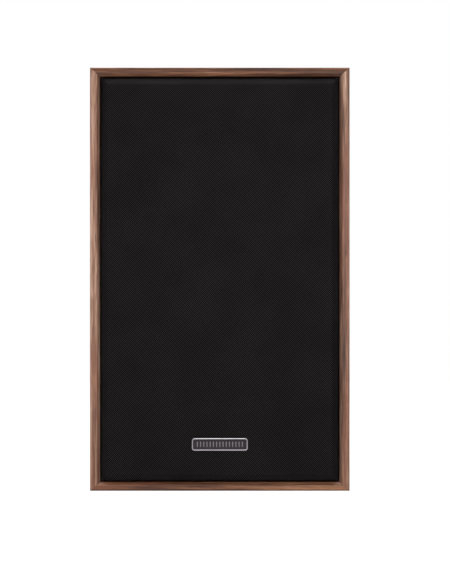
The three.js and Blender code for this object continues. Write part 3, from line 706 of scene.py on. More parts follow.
# %% Grille frame
FRAME_HIGH = span("grille_frame")[1]
under = CLOTH_THICK + 0.3 * mm
frame_outline = rounded_rect(cloth_centre, cloth_size - 2 * under, CLOTH_CORNER - under, 6)
RAIL = 18 * mm
CROSS_BAR = (218.5 * mm, 231.5 * mm)
BOTTOM_RAIL_TOP = CLOTH_LOW[2] + 41 * mm


def window(z0, z1):
    """A rounded cutter for one of the frame's two openings."""
    size = (cloth_size[0] - 2 * RAIL, z1 - z0)
    outline = rounded_rect((cloth_centre[0], (z0 + z1) / 2), size, 8 * mm)
    return stacked("cutter", outline, [(0, GRILLE_FRONT - past), (0, GRILLE_BACK + past)])


frame_back = GRILLE_BACK - CLOTH_THICK - 0.3 * mm
frame_levels = [
    (BEVEL_WIDTH, GRILLE_FRONT + under),
    (0.3 * mm, GRILLE_FRONT + under + BEVEL_DEPTH - 0.2 * mm),
    (0, GRILLE_FRONT + under + BEVEL_DEPTH + 0.5 * mm),
    (0, frame_back - 0.4 * mm),
    (0.4 * mm, frame_back),
]
moulding = carve(
    stacked("grille_frame_moulding", frame_outline, frame_levels),
    window(BOTTOM_RAIL_TOP, CROSS_BAR[0]),
    window(CROSS_BAR[1], CLOTH_HIGH[2] - RAIL),
)
peg_tip = FRAME_HIGH[1]
peg_root, PEG_RADIUS, PEG_END = frame_back - past, 2.9 * mm, 1.7 * mm
peg_corners = [(0, peg_root), (PEG_RADIUS, peg_root), (PEG_RADIUS, peg_tip - 2 * mm)]
peg_corners += [(PEG_END, peg_tip), (0, peg_tip)]
peg_profile = eased(peg_corners, 0.5 * mm, closed=False)
pegs = [turned("peg", peg_profile, at, 40) for at in PEGS]
moulding = merged("grille_frame_moulding", [moulding, *pegs])
present(moulding, "grille", "grille_plastic", GRILLE_MOULDING, "grille_frame")
tuple(float(v) for v in cloth_flat)

# %% [markdown]
# ## The badge
# A small pewter plate with a polished rim. Its field carries plain upright ribs instead of a name.

# %% Badge
BADGE_LOW, BADGE_HIGH = span("badge")
badge_centre, badge_size = middle("badge")[[0, 2]], (BADGE_HIGH - BADGE_LOW)[[0, 2]]
RIM, RIM_SLOPE, FIELD_DEPTH = 0.9 * mm, 0.5 * mm, 0.7 * mm
badge_top = BADGE_LOW[1]
badge_levels = [
    (0.2 * mm, GRILLE_FRONT - 0.05 * mm),
    (0, GRILLE_FRONT - 0.25 * mm),
    (0, badge_top + 0.62 * mm),
    (0.09 * mm, badge_top + 0.29 * mm),
    (0.5 * mm, badge_top),
    (RIM, badge_top + 0.06 * mm),
    (RIM + RIM_SLOPE, badge_top + FIELD_DEPTH),
]
badge_outline = rounded_rect(badge_centre, badge_size, 2.6 * mm, 8)
plate = stacked("badge_plate", badge_outline, badge_levels, 50)
RIBS, RIB_WIDTH, RIB_HEIGHT = 15, 1.3 * mm, 5.2 * mm
rib_pitch = (badge_size[0] - 10 * mm) / (RIBS - 1)
ribs = []
for i in range(RIBS):
    at = (badge_centre[0] + (i - (RIBS - 1) / 2) * rib_pitch, badge_centre[1])
    rib = rounded_rect(at, (RIB_WIDTH, RIB_HEIGHT), 0.6 * mm, 4)
    floor_y = badge_top + FIELD_DEPTH
    rib_levels = [(0, floor_y + 0.1 * mm), (0.05 * mm, floor_y - 0.3 * mm)]
    rib_levels.append((0.3 * mm, floor_y - 0.42 * mm))
    ribs.append(stacked("rib", rib, rib_levels, 60))


def pewter():
    """Worn pewter: bright where it stands out, dull and darker in the field."""
    made = Finish("pewter", {"Metallic": 1.0})
    _, y, _ = made.axes()
    raised = y.rise(badge_top + 0.08 * mm, badge_top + 0.42 * mm, 1, 0)
    brushed = made.noise(900, 3, 0.6, made.stretched((0.08, 1, 1)))
    field = made.mix(brushed, colour("2e2a2d"), colour("413c40"))
    made.feed("Base Color", made.mix(raised, field, colour("b4b0b4")))
    made.feed("Roughness", raised.rise(0, 1, 0.42, 0.26) + brushed * 0.1)
    return made.feed("Normal", made.bump(brushed, 0.01 * mm))


badge = merged("badge_plate", [plate, *ribs])
present(badge, "grille", "badge_metal", pewter(), "badge")
print("badge, mm:", (badge_size / mm).round(1), "with", RIBS, "ribs")

# %% [markdown]
# ## Screws
# The drivers and the terminal cup are held by pan-head screws with a cross recess. One screw is worked
# out at the origin, and each copy is turned a little differently, as a fitter would leave them.


# %% Screws
def screw(name, at, head, head_thick, shank, face, tip, spin):
    """A pan-head screw along y, with its head towards -y if its tip is at a larger y. Its thread is a
    row of ridges."""
    way = np.sign(tip - face)
    ridge = np.arange(face + way * 2 * mm, tip - way * 1.5 * mm, way * 1.0 * mm)
    thread = [pair for y in ridge for pair in ((shank, y), (shank * 0.78, y + way * 0.5 * mm))]
    dome = face - way * head_thick
    shoulder, brow = face - way * head_thick * 0.35, dome + way * head_thick * 0.12
    profile = [(0, tip), *thread[::-1], (shank, face), (head, face)]
    profile += [(head, shoulder), (head * 0.75, brow), (0, dome)]
    body = turned(name, eased(profile, 0.25 * mm, 2, closed=False), at, 32)
    slots = []
    for quarter in (0, np.pi / 2):
        long_half, wide_half = head * 0.55, head * 0.13
        corners = np.array([[-1, -1], [1, -1], [1, 1], [-1, 1]]) * (long_half, wide_half)
        angle = spin + quarter
        turn = np.array([[np.cos(angle), np.sin(angle)], [-np.sin(angle), np.cos(angle)]])
        flat = corners @ turn + (at[0], at[-1])
        inner, outer = dome + way * head_thick * 0.6, dome - way * past
        slots.append(stacked("cutter", lambda inset, flat=flat: flat, [(0, inner), (0, outer)]))
    return carve(body, *slots)


# How many, then in millimetres: the head's radius, its thickness and the shank's radius.
SCREWS = {
    "woofer_screw": (4, 3.5, 2.2, 1.9),
    "tweeter_screw": (3, 3.0, 1.8, 1.6),
    "terminal_screw": (4, 2.7, 1.7, 1.4),
}
for family, (count, *sizes) in SCREWS.items():
    head, head_thick, shank = np.array(sizes) * mm
    for number in range(1, count + 1):
        node = f"{family}_{number}"
        low, high = span(node)
        at_rear = family == "terminal_screw"
        face = high[1] - head_thick if at_rear else low[1] + head_thick
        tip = low[1] if at_rear else high[1]
        spin = 0.7 * number + 0.2 * count
        made = screw(node + "_turned", middle(node), head, head_thick, shank, face, tip, spin)
        present(made, "cabinet", "black_screw", BLACK_OXIDE, node)
print("screws:", sum(count for count, *_ in SCREWS.values()))


# %% [markdown]
# ## The woofer
# From the front: a pressed basket flush with the baffle, a foam gasket, a rolled rubber surround, a
# paper cone with a dust cap. Behind: the voice coil on its former, the spider that centres it, and the
# magnet between two steel plates. Depths are measured from the baffle's face.


# %% Woofer, frame and motor
def behind(profile, ease=0.4, steps=3, closed=True):
    """A profile in millimetres, (radius, depth behind the baffle's face), with softened corners."""
    points = np.asarray(profile, float) * mm + (0, BAFFLE)
    return eased(points, np.asarray(ease) * mm, steps, closed)


def basket():
    """The pressed frame: a flange, a conical wall with six openings, and a base for the magnet."""
    profile = [
        (68, 0), (82.5, 0), (82.5, 5), (73, 5), (70.5, 12), (47, 42), (43, 49), (22, 49),
        (22, 46), (38, 46), (38, 38), (44.5, 38), (67.5, 12), (68, 5),
    ]
    shell = turned("basket_pressing", behind(profile, 0.8), WOOFER, 144)
    cutters = []
    for spoke in range(6):
        middle_angle = 60 * spoke
        outer = arc((0, 0), 76 * mm, middle_angle - 21, middle_angle + 21, 12)
        inner = arc((0, 0), 45.5 * mm, middle_angle + 21, middle_angle - 21, 12)
        flat = np.concatenate([outer, inner]) + WOOFER[[0, 2]]
        levels = [(0, BAFFLE + 13 * mm), (0, BAFFLE + 35 * mm)]
        cutters.append(stacked("cutter", lambda inset, flat=flat: flat, levels))
    return carve(shell, *cutters)


def ring(name, node, inner, finish, slot, sides=96, ease=0.6 * mm):
    """A flat ring in a CAD node's place, with its own inner radius."""
    low, high = span(node)
    outer = radius(node)
    corners = [(inner, low[1]), (outer, low[1]), (outer, high[1]), (inner, high[1])]
    made = turned(name, eased(corners, ease), middle(node), sides)
    return present(made, "cabinet", slot, finish, node)


def pole_and_plate(name, node, plate_thick, pole_radius, vent):
    """A yoke: a back plate with the pole that stands inside the voice coil."""
    low, high = span(node)
    outer, shoulder = radius(node), high[1] - plate_thick
    corners = [
        (vent, low[1]), (pole_radius, low[1]), (pole_radius, shoulder),
        (outer, shoulder), (outer, high[1]), (vent, high[1]),
    ]
    made = turned(name, eased(corners, 0.5 * mm), middle(node))
    return present(made, "cabinet", "plated_steel", ZINC, node)


present(basket(), "cabinet", "basket_metal", POWDER_COAT, "woofer_basket")
gasket = [(70.2, -3.4), (74.8, -3.4), (74.8, -0.3), (73.3, -0.3), (73.3, -1.5), (70.2, -1.5)]
foam = turned("gasket_ring", behind(gasket, 0.7), WOOFER, 144)
present(foam, "cabinet", "gasket_rubber", FOAM_RUBBER, "woofer_gasket")
ring("woofer_top_plate_ring", "woofer_top_plate", 14 * mm, ZINC, "plated_steel")
ring("woofer_magnet_ring", "woofer_magnet", 24 * mm, FERRITE, "ferrite", ease=1.2 * mm)
pole_and_plate("woofer_yoke_turned", "woofer_yoke", 6 * mm, 12 * mm, 5 * mm)

# %% [markdown]
# The surround and the spider are the pieces that bend in the real driver: their outer edge is glued to the
# basket and their inner edge moves with the cone. The law meant for them, a share that grows smoothly from
# the outer edge to the inner one, better here than one that runs along a line, is not set up.


# %% Surround and spider
def bend_inwards(piece, outer, inner):
    """Bakes a ring's place into its mesh and reads its points, but sets up no bend. The share of the cone's
    stroke is meant to be s^2 (3 - 2s), where s goes from 0 at the outer radius to 1 at the inner one."""
    start, end = (outer, 0, WOOFER[2]), (inner, 0, WOOFER[2])
    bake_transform(piece)
    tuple(start)
    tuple(end)
    points = np.zeros(len(piece.data.vertices) * 3, np.float32)
    piece.data.vertices.foreach_get("co", points)
    return piece


def dress_ring(piece, finish, node):
    """Finish and CAD node for a ring that rides on no body."""
    piece.data.materials.append(finish.material)
    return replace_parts(piece, node)


roll = arc((65.6, -1.1), 4.6, 0, -180, 20)
roll_inside = arc((65.6, -0.3), 3.8, -180, 0, 20)
roll_edge, roll_foot = [(72.9, -0.35), (72.9, -1.1)], [(60.2, -0.35)]
surround_profile = np.concatenate([roll_edge, roll, roll_foot, roll_inside])
surround = turned("surround_roll", behind(surround_profile, 0.1, 1), WOOFER, 144, flat_above=60)
bend_inwards(surround, 70.3 * mm, 61 * mm)
dress_ring(surround, BUTYL, "woofer_surround")

SPIDER_FACE = (span("woofer_spider")[0][1] - BAFFLE) / mm + 1.2
RIPPLE_HEIGHT, RIPPLE_PITCH = 1.05, 4.6
reach = np.linspace(13.6, 44, 90)
fade = np.clip((reach - 15) / 3, 0, 1) * np.clip((42 - reach) / 2, 0, 1)
ripple = RIPPLE_HEIGHT * np.sin((reach - 17) * 2 * np.pi / RIPPLE_PITCH) * fade
front = np.stack([reach, SPIDER_FACE + ripple], axis=1)
spider_profile = behind(np.concatenate([front, front[::-1] + (0, 0.5)]), 0.05, 1)
spider = turned("spider_cloth_ring", spider_profile, WOOFER, 96, flat_above=70)
bend_inwards(spider, 43.5 * mm, 14 * mm)
dress_ring(spider, SPIDER_CLOTH, "woofer_spider")


# %% Cone, dust cap and voice coil
def bowl(radii, rim_depth, neck_depth, thick, ribs=0.0):
    """A cone's profile: depth grows from the rim to the neck, a little bowed, with shallow rings."""
    rim, neck = radii
    r = np.linspace(rim, neck, 48)
    s = (rim - r) / (rim - neck)
    depth = rim_depth + (neck_depth - rim_depth) * (s + 0.10 * s * (1 - s))
    depth = depth - ribs * np.maximum(np.sin(s * np.pi * 7), 0) ** 6
    front = np.stack([r, depth], axis=1)
    return np.concatenate([front, front[::-1] + (0, thick)])


def dome(reach, apex_depth, base_depth, thick, steps=24):
    """A shallow dome's profile: depth = apex + (base - apex) (r / reach)^2, with a back face."""
    r = np.linspace(reach, 0, steps)
    front = np.stack([r, apex_depth + (base_depth - apex_depth) * (r / reach) ** 2], axis=1)
    return front, np.stack([r[::-1], front[::-1, 1] + thick], axis=1)


def on_body(name, profile, body, slot, finish, node, centre=WOOFER, sides=96):
    """Turns a profile in millimetres behind the baffle and rides it on a body."""
    points = np.asarray(profile, float) * mm + (0, BAFFLE)
    return present(turned(name, points, centre, sides, flat_above=50), body, slot, finish, node)


cone_profile = bowl((60.5, 13.6), 0.8, 25.2, 1.2, 0.35)
on_body(
    "cone_paper", cone_profile, "woofer_diaphragm", "woofer_cone_pulp", PAPER_PULP, "woofer_cone"
)
cap_front, cap_back = dome(20.4, 13, 19.9, 0.8)
cap_profile = np.concatenate([cap_front[::-1], cap_back[::-1]])
on_body(
    "dust_cap_pressing", cap_profile, "woofer_diaphragm", "dust_cap_black", DUST_CAP, "woofer_dust_cap"
)


def former(name, node, body, inner, outer, winding, bottom, top, centre):
    """A voice coil: a thin former with a winding of scalloped turns between two depths."""
    low, high = span(node)
    low, high = (low[1] - BAFFLE) / mm, (high[1] - BAFFLE) / mm
    turn = 0.45
    count = int((top - bottom) / turn)
    middle_depths = bottom + (np.arange(count) + 0.5) * turn
    wires = [arc((winding - turn / 2, d), turn / 2, -75, 75, 4) for d in middle_depths]
    profile = [(inner, low), (outer, low), (outer, bottom), *np.concatenate(wires)]
    profile += [(outer, top), (outer, high), (inner, high)]
    return on_body(name, profile, body, "copper_winding", COPPER, node, centre, 64)


former(
    "woofer_coil_former", "woofer_voice_coil", "woofer_diaphragm", 12.6, 13.1, 13.5, 49, 58.5, WOOFER
)

# %% [markdown]
# ## The tweeter
# A moulded faceplate with a shallow flare round a soft dome. The flare is one smooth curve, and a fine
# groove runs round the plate. The dome is coated silk with its own small roll.

# %% Tweeter
share = np.linspace(0, 1, 16)
flare = np.stack([np.linspace(15.6, 33, 16), 4.6 * (1 - share) ** 1.8], axis=1)
plate_profile = [
    *flare, (41.2, 0), (41.5, 0.4), (41.9, 0.4), (42.2, 0), (50, 0),
    (50, 4), (36.8, 4), (36.8, 7), (15.6, 7),
]
faceplate = turned("tweeter_faceplate_moulding", behind(plate_profile, 0.3), TWEETER, 144)
screw_places = [middle(f"tweeter_screw_{i}") for i in (1, 2, 3)]
holes = [bore(at, 2 * mm, BAFFLE - past, BAFFLE + 6 * mm, 32) for at in screw_places]
present(carve(faceplate, *holes), "cabinet", "black_plastic", MOULDED, "tweeter_faceplate")

dome_front, dome_back = dome(12.6, 0.4, 5.0, 0.4)
roll_out = arc((13.9, 5.2), 1.25, 180, 360, 10)
rim = [(15.15, 5.25), (15.15, 5.65)]
dome_profile = np.concatenate([dome_front[::-1], roll_out, rim, dome_back[::-1]])
on_body(
    "tweeter_dome_silk", dome_profile, "tweeter_diaphragm", "dome_silk", DOME_SILK, "tweeter_dome", TWEETER
)
former(
    "tweeter_coil_former", "tweeter_voice_coil", "tweeter_diaphragm", 12.5, 12.95, 13.3, 7.6, 10.2, TWEETER
)
ring("tweeter_top_plate_ring", "tweeter_top_plate", 13.8 * mm, ZINC, "plated_steel", ease=0.4 * mm)
ring("tweeter_magnet_ring", "tweeter_magnet", 20 * mm, FERRITE, "ferrite", ease=1 * mm)
pole_and_plate("tweeter_yoke_turned", "tweeter_yoke", 5 * mm, 12 * mm, 2 * mm)

# %% [markdown]
# ## Port, terminal cup and binding posts
# The port is a moulded tube with a trumpet mouth, so that the air leaves it quietly. The posts sit in a
# recess so that the cabinet can stand close to a wall. Each knob is fluted for grip, turns on a brass
# insert, and has a ring of its colour behind it.

# %% Port
tube_end, mouth_y = span("port_tube")[0][1], span("port_tube")[1][1]
flange_back = REAR_FACE + clear
mouth = arc((37 * mm, mouth_y - 12 * mm), 12 * mm, 180, 100, 14)
port_profile = np.concatenate([
    [(27.5 * mm, tube_end), (27.5 * mm, flange_back), (radius("port_tube"), flange_back)],
    [(radius("port_tube"), mouth_y - 1.2 * mm), (radius("port_tube") - 0.8 * mm, mouth_y)],
    mouth[::-1],
    [(25 * mm, tube_end + 3 * mm), (26.2 * mm, tube_end)],
])
port = turned("port_tube_moulding", eased(port_profile, 0.4 * mm, 2), PORT, 144)
present(port, "cabinet", "black_plastic", MOULDED, "port_tube")

# %% Terminal cup
cup_low, cup_high = span("terminal_cup")
cup_front = cup_high[1]
POCKET_DEPTH, CUP_FLANGE = 22 * mm, 3 * mm
pocket_floor = cup_front - POCKET_DEPTH
cup_outline = rounded_rect(CUP[[0, 2]], CUP_SIZE, 6 * mm, 8)
cup_levels = [
    (9.2 * mm, pocket_floor),
    (8.3 * mm, pocket_floor + 0.5 * mm),
    (8 * mm, pocket_floor + 1.5 * mm),
    (7.6 * mm, cup_front - 1.2 * mm),
    (6.6 * mm, cup_front),
    (1.4 * mm, cup_front),
    (0.4 * mm, cup_front - 0.4 * mm),
    (0, cup_front - 1.2 * mm),
    (0, cup_front - CUP_FLANGE),
    (5.5 * mm, cup_front - CUP_FLANGE),
    (5.5 * mm, pocket_floor - 2.5 * mm),
]
cup_shell = stacked("terminal_cup_shell", cup_outline, cup_levels)
STANDOFF_X, STANDOFF_Z, STANDOFF_RADIUS = 34 * mm, 24 * mm, 3 * mm
corners = [(sx * STANDOFF_X, sz * STANDOFF_Z) for sx in (-1, 1) for sz in (-1, 1)]
standoff = [(0, cup_low[1]), (STANDOFF_RADIUS, cup_low[1])]
standoff += [(STANDOFF_RADIUS, pocket_floor - past), (0, pocket_floor - past)]
standoffs = [turned("standoff", standoff, (CUP[0] + x, CUP[2] + z), 32) for x, z in corners]
cup = merged("terminal_cup_moulding", [cup_shell, *standoffs])
present(cup, "cabinet", "black_plastic", MOULDED, "terminal_cup")


# %% Binding posts
KNOB_BORE, PLUG_HOLE = 4.7 * mm, 3.1 * mm
THREAD_CREST, THREAD_ROOT, THREAD_PITCH = 2.5 * mm, 2.2 * mm, 0.8 * mm
shoulder = pocket_floor + clear


def grip(low, high):
    """Shallow flutes round a knob's middle: the radius is multiplied by 1 - 0.06 |cos 8a|^3, and the
    flutes run out near both ends."""

    def flute(angle, y):
        rising = np.clip((y - low - 2 * mm) / (1.5 * mm), 0, 1)
        falling = np.clip((high - 2.2 * mm - y) / (1.5 * mm), 0, 1)
        along = rising * falling
        return 1 - 0.06 * along * np.abs(np.cos(8 * angle)) ** 3

    return flute


def knob(pole, slot, finish):
    """The part that is turned by hand, with a hole for a plug in its end."""
    node = f"{pole}_cap"
    low, high, reach = span(node)[0][1], span(node)[1][1], radius(node)
    profile = [(KNOB_BORE, low), (reach - 0.5 * mm, low), (reach, low + 1 * mm)]
    profile += [(reach, y) for y in np.linspace(low + 2 * mm, high - 2.2 * mm, 12)]
    profile += [(reach, high - 1.4 * mm), (reach - 1.5 * mm, high), (PLUG_HOLE, high)]
    profile += [(PLUG_HOLE, high - 1.5 * mm), (KNOB_BORE, high - 1.5 * mm)]
    made = turned(f"{pole}_cap_knob", eased(profile, 0.3 * mm, 2), middle(node), 160, grip(low, high))
    return present(made, f"{pole}_cap_body", slot, finish, node)


def sleeve(pole):
    """The brass insert inside the knob."""
    node = f"{pole}_cap_insert"
    low, high = span(node)
    profile = [(2.9 * mm, low[1]), (4.4 * mm, low[1]), (4.4 * mm, high[1]), (2.9 * mm, high[1])]
    made = turned(f"{pole}_insert_sleeve", eased(profile, 0.2 * mm), middle(node), 48)
    return present(made, f"{pole}_insert_body", "brass_terminal", BRASS, node)


def stud(pole, at):
    """The fixed post: a threaded rod with a collar on the cup's floor and a socket in its end."""
    low, high = span(f"{pole}_stud")
    ridges = np.arange(shoulder + 3 * mm, high[1] - THREAD_PITCH, THREAD_PITCH)
    halfway = 0.4 * mm
    thread = [pair for y in ridges for pair in ((THREAD_CREST, y), (THREAD_ROOT, y + halfway))]
    profile = [(0, low[1]), (2.4 * mm, low[1]), (2.4 * mm, shoulder), (5.5 * mm, shoulder)]
    profile += [(5.5 * mm, shoulder + 0.9 * mm), (2.4 * mm, shoulder + 0.9 * mm), *thread]
    profile += [(2.4 * mm, high[1]), (1.6 * mm, high[1])]
    profile += [(1.6 * mm, high[1] - 13 * mm), (0, high[1] - 13 * mm)]
    made = turned(f"{pole}_stud_turned", eased(profile, 0.15 * mm, 2, closed=False), at, 48)
    return present(made, "cabinet", "brass_terminal", BRASS, f"{pole}_stud")


def washer(pole, at, slot, finish):
    """The coloured ring between the knob and the cup."""
    near, far = shoulder + 1 * mm, shoulder + 2 * mm
    profile = [(2.7 * mm, near), (7.4 * mm, near), (7.4 * mm, far), (2.7 * mm, far)]
    made = turned(f"{pole}_washer", eased(profile, 0.3 * mm), at, 64)
    return present(made, "cabinet", slot, finish)


def nut(pole, at):
    """The six-sided nut that holds a post and the crossover board together."""
    node = f"{pole}_stud_nut"
    low, high = span(node)
    reach = (high[2] - low[2]) / 2

    def six_sides(inset):
        return arc(at[[0, 2]], reach - inset, 0, 300, 5)

    body = slab(f"{pole}_nut", six_sides, low[1], high[1])
    made = carve(body, bore(at, 2.6 * mm, low[1] - past, high[1] + past, 32))
    return present(made, "cabinet", "brass_terminal", BRASS, node)


POSTS = {"positive": ("knob_red", RED_PLASTIC), "negative": ("knob_black", BLACK_PLASTIC)}
for pole, (slot, finish) in POSTS.items():
    at = middle(f"{pole}_cap")
    made = knob(pole, slot, finish)
    sleeve(pole)
    stud(pole, at)
    washer(pole, at, slot, finish)
    nut(pole, at)
    print(made.name, "radius, mm:", round(radius(f"{pole}_cap") / mm, 1))

# %% [markdown]
# ## Crossover, leads and wadding
# These are inside the closed cabinet, but they are real pieces and go into the model as such. The
# coils show their turns as scallops, the leads hang in loose curves between the board and the drivers,
# and the wadding is a crowned pad with a fluffy skin.

# %% Crossover
board_low, board_high = span("crossover_board")
board_size = (board_high - board_low)[[0, 2]]
board_outline = rounded_rect(middle("crossover_board")[[0, 2]], board_size, 2 * mm, 4)
board_front, board_back = board_low[1], board_high[1]
stud_places = [middle(f"{pole}_stud") for pole in POSTS]
holes = [bore(at, 2.8 * mm, board_front - past, board_back + past, 32) for at in stud_places]
circuit = slab("crossover_circuit_board", board_outline, board_front, board_back, 0.15 * mm)
circuit = carve(circuit, *holes)
present(circuit, "cabinet", "circuit_board", CIRCUIT, "crossover_board")


def wound_coil(name, node, inner):
    """An air coil: a ring whose outer and inner walls are rows of wire turns."""
    low, high = span(node)
    outer, turn = radius(node), 0.7 * mm
    depths = np.arange(low[1] + turn / 2, high[1], turn)
    outside = np.concatenate([arc((outer - turn / 2, d), turn / 2, -80, 80, 4) for d in depths])
    inside = np.concatenate([arc((inner + turn / 2, d), turn / 2, 100, 260, 4) for d in depths[::-1]])
    made = turned(name, np.concatenate([outside, inside]), middle(node), 64)
    return present(made, "cabinet", "copper_winding", COPPER, node)


def can(name, node, axis):
    """A film capacitor: a cylinder with sealed ends, made front to back and laid along an axis."""
    low, high = span(node)
    half, reach = (high - low)[axis] / 2, (high - low)[1] / 2
    corners = [(0, -half), (reach * 0.8, -half), (reach, -half + 1 * mm)]
    corners += [(reach, half - 1 * mm), (reach * 0.8, half), (0, half)]
    made = turned(name, eased(corners, 0.5 * mm, closed=False), (0, 0), 64)
    points = np.zeros(len(made.data.vertices) * 3, np.float32)
    made.data.vertices.foreach_get("co", points)
    points = points.reshape(-1, 3)
    laid = points[:, [1, 2, 0]] if axis == 0 else points[:, [2, 0, 1]]
    made.data.vertices.foreach_set("co", (laid + middle(node)).astype(np.float32).ravel())
    made.data.update()
    return present(made, "cabinet", "capacitor_film", FILM, node)


wound_coil("woofer_inductor_coil", "woofer_inductor", 7 * mm)
wound_coil("tweeter_inductor_coil", "tweeter_inductor", 4.5 * mm)
can("woofer_capacitor_can", "woofer_capacitor", 0)
can("tweeter_capacitor_can", "tweeter_capacitor", 2)
low, high = span("tweeter_resistor")
body = rounded_rect(middle("tweeter_resistor")[[0, 2]], (high - low)[[0, 2]], 0.8 * mm, 3)
resistor = slab("tweeter_resistor_body", body, low[1], high[1], 0.5 * mm)
present(resistor, "cabinet", "resistor_ceramic", CERAMIC, "tweeter_resistor")

# %% Leads
# Each route is in millimetres, from just in front of the crossover board to its driver.
LEAD_START = board_front / mm - 3
LEAD_RADIUS = 1.7 * mm
LEADS = {
    "woofer_lead": [
        (-37, LEAD_START, 137), (-40, 62, 136), (-54, 30, 122), (-68, -10, 112),
        (-70, -46, 118), (-64, -66, 130), (-60, -74, 134),
    ],
    "tweeter_lead": [
        (37, LEAD_START, 137), (42, 62, 142), (58, 36, 160), (60, 0, 196),
        (44, -34, 232), (22, -54, 256), (14, -68, 264), (13, -74, 265),
    ],
}


def smooth_line(points, per_stretch=10):
    """A smooth curve through every point (Catmull-Rom). Between b and c, with neighbours a and d, it
    is p = (2b + (c-a)t + (2a-5b+4c-d)t^2 + (3b-a-3c+d)t^3) / 2."""
    p = np.asarray(points, float)
    p = np.concatenate([[2 * p[0] - p[1]], p, [2 * p[-1] - p[-2]]])
    a, b, c, d = (p[i : len(p) - 3 + i][:, None] for i in range(4))
    t = np.linspace(0, 1, per_stretch, endpoint=False)[None, :, None]
    curve = 2 * b + (c - a) * t + (2 * a - 5 * b + 4 * c - d) * t**2 + (3 * b - a - 3 * c + d) * t**3
    return np.concatenate([(curve / 2).reshape(-1, 3), p[-2][None]])


for node, route in LEADS.items():
    line = smooth_line(np.array(route) * mm)
    curve = bpy.data.curves.new(node + "_wire", "CURVE")
    curve.dimensions = "3D"
    curve.bevel_depth, curve.bevel_resolution, curve.use_fill_caps = LEAD_RADIUS, 4, True
    spline = curve.splines.new("POLY")
    spline.points.add(len(line) - 1)
    spline.points.foreach_set("co", np.concatenate([line, np.ones((len(line), 1))], axis=1).ravel())
    wire = bpy.data.objects.new(node + "_wire", curve)
    bpy.context.scene.collection.objects.link(wire)
    length = float(np.linalg.norm(np.diff(line, axis=0), axis=1).sum())
    present(wire, "cabinet", "lead_insulation", LEAD_JACKET, node)
    print(node, "length, mm:", round(length / mm, 1))


# %% Wadding
def signed_power(value, n):
    """|value|^n, with the value's own sign."""
    return np.sign(value) * np.abs(value) ** n


def wadding():
    """A crowned pad: a superellipsoid |x|^n + |y|^n + |z|^n = 1 inside the CAD block, with a few
    sines to make its skin uneven and its underside flat."""
    low, high = span("damping_pad")
    centre, half = (low + high) / 2, (high - low) / 2 - 1 * mm
    around, upwards = np.linspace(0, 2 * np.pi, 160, endpoint=False), np.linspace(-np.pi / 2, np.pi / 2, 90)
    u, v = np.meshgrid(around, upwards, indexing="xy")
    belt = signed_power(np.cos(v), 0.5)
    x, y = signed_power(np.cos(u), 0.35) * belt, signed_power(np.sin(u), 0.35) * belt
    z = signed_power(np.sin(v), 0.7)
    lumps = np.sin(9 * u + 2 * v) * np.cos(7 * v) + 0.6 * np.sin(17 * u) * np.cos(5 * v)
    swell = 1 - 0.02 * (1 + lumps)
    crowned = np.stack([x * swell, y * swell, np.where(z < 0, z, z * swell)], axis=-1)
    points = crowned * half + centre
    return shape_from("wadding_pad", points, grid_faces(*u.shape, False, True), 80)


pad = wadding()
present(pad, "cabinet", "wadding", WADDING, "damping_pad")
print("wadding faces:", len(pad.data.polygons))

# %% [markdown]
# The grille's pegs push into four plastic cups in the baffle, each with a thin lip round its mouth.

# %% Sockets in the baffle
SOCKET_BORE, SOCKET_WALL, SOCKET_END, SOCKET_LIP = 3.3 * mm, 4.9 * mm, 1.2 * mm, 0.9 * mm
for i, at in enumerate(PEGS, start=1):
    node = f"grille_socket_{i}"
    low, high = span(node)
    mouth_at, end_at, lip = low[1], high[1], radius(node) - 0.3 * mm
    profile = [(0, end_at - SOCKET_END), (SOCKET_BORE, end_at - SOCKET_END), (SOCKET_BORE, mouth_at)]
    profile += [(lip, mouth_at), (lip, mouth_at + SOCKET_LIP), (SOCKET_WALL, mouth_at + SOCKET_LIP)]
    profile += [(SOCKET_WALL, end_at), (0, end_at)]
    made = turned(node + "_cup", eased(profile, 0.25 * mm, 2, closed=False), at, 48)
    present(made, "cabinet", "black_plastic", MOULDED, node)
print("sockets:", len(PEGS))

# %% [markdown]
# ## Camera and light
# The speaker is seen square from the front with a long lens, which keeps its sides parallel. A large
# light above and in front catches the top bevel of the grille. Two small soft boxes near the middle
# light the side boards but not the slopes of the grille's sides, a faint low one lifts the foot, and
# one behind fills the rear views. The floor and the background are plain white to the camera.

# %% Camera
LENS, SENSOR = 200, 36
view_height = 510.4 * mm
STEP_RIGHT, STEP_DOWN = 4.7 * mm, 2.5 * mm
camera_data = bpy.data.cameras.new("camera")
camera_data.lens, camera_data.sensor_width = LENS, SENSOR
camera = bpy.data.objects.new("camera", camera_data)
bpy.context.scene.collection.objects.link(camera)
away = view_height * LENS / SENSOR
camera.location = (STEP_RIGHT, FRONT - away, HEIGHT / 2 - STEP_DOWN)
camera.rotation_euler = (np.pi / 2, 0, 0)
bpy.context.scene.camera = camera
bpy.context.scene.view_settings.view_transform = "Standard"
print("camera stands off, metres:", round(away, 3))


# %% Lights and floor
def softbox(name, place, aim, size, watts):
    """A rectangular light at a place, facing a point."""
    data = bpy.data.lights.new(name, "AREA")
    data.shape, data.size, data.size_y = "RECTANGLE", *size
    data.energy = watts
    lamp = bpy.data.objects.new(name, data)
    bpy.context.scene.collection.objects.link(lamp)
    lamp.location = place
    from_lamp = np.asarray(aim, float) - np.asarray(place, float)
    lamp.rotation_euler = Vector(from_lamp).to_track_quat("-Z", "Y").to_euler()
    lamp.visible_camera = False


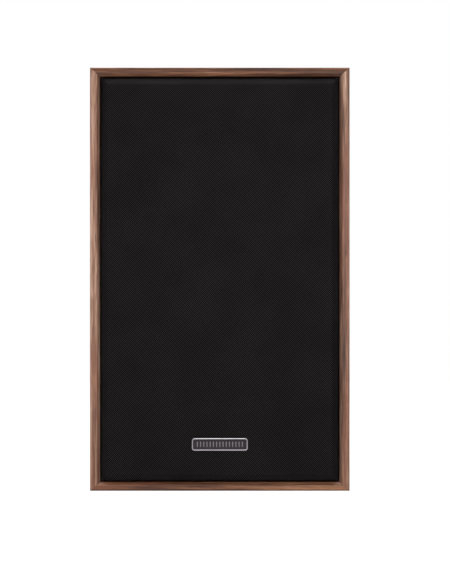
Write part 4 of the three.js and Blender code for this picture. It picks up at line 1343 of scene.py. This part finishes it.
softbox("top_light", (0, -0.26, 1.1), (0, -0.12, 0.2), (0.9, 0.35), 12)
softbox("left_light", (-0.15, -0.52, 0.23), (-0.11, -0.12, 0.22), (0.08, 0.16), 0.58)
softbox("right_light", (0.15, -0.52, 0.27), (0.11, -0.12, 0.26), (0.08, 0.16), 0.64)
softbox("low_light", (0, -0.70, 0.04), (0, -0.12, 0.03), (0.3, 0.06), 0.15)
softbox("back_light", (0.3, 1.6, 1.1), (0, 0.1, 0.2), (1.4, 1.0), 12)

world = bpy.data.worlds.new("studio")
bpy.context.scene.world = world
world.use_nodes = True
nodes, links = world.node_tree.nodes, world.node_tree.links
seen = nodes.new("ShaderNodeLightPath")
strength = nodes.new("ShaderNodeMapRange")
AMBIENT, WHITE_TO_CAMERA = 0.2, 1.0
strength.inputs["To Min"].default_value = AMBIENT
strength.inputs["To Max"].default_value = WHITE_TO_CAMERA
links.new(seen.outputs["Is Camera Ray"], strength.inputs["Value"])
links.new(strength.outputs[0], nodes["Background"].inputs["Strength"])
nodes["Background"].inputs["Color"].default_value = (1, 1, 1, 1)

FLOOR_REACH, FLOOR_CORNERS = 3.0, 48
floor_edge = arc((0, 0), FLOOR_REACH, 0, 352.5, FLOOR_CORNERS - 1)
floor_points = np.concatenate([floor_edge, np.full((FLOOR_CORNERS, 1), -0.2 * mm)], axis=1)
floor_mesh = bpy.data.meshes.new("floor")
floor_mesh.from_pydata(floor_points.tolist(), [], [list(range(FLOOR_CORNERS))])
floor = bpy.data.objects.new("floor", floor_mesh)
bpy.context.scene.collection.objects.link(floor)
paper = bpy.data.materials.new("white_paper")
paper.use_nodes = True
nodes, links = paper.node_tree.nodes, paper.node_tree.links
nodes["Principled BSDF"].inputs["Base Color"].default_value = (0.8, 0.8, 0.8, 1)
nodes["Principled BSDF"].inputs["Roughness"].default_value = 0.9
glow = nodes.new("ShaderNodeEmission")
mixer = nodes.new("ShaderNodeMixShader")
seen = nodes.new("ShaderNodeLightPath")
share = nodes.new("ShaderNodeMath")
share.operation, share.inputs[1].default_value = "MULTIPLY", 0.85
glow.inputs["Strength"].default_value = 1.2
links.new(seen.outputs["Is Camera Ray"], share.inputs[0])
links.new(share.outputs[0], mixer.inputs[0])
links.new(nodes["Principled BSDF"].outputs[0], mixer.inputs[1])
links.new(glow.outputs[0], mixer.inputs[2])
links.new(mixer.outputs[0], nodes["Material Output"].inputs["Surface"])
floor_mesh.materials.append(paper)
print("lights:", len(bpy.data.lights))
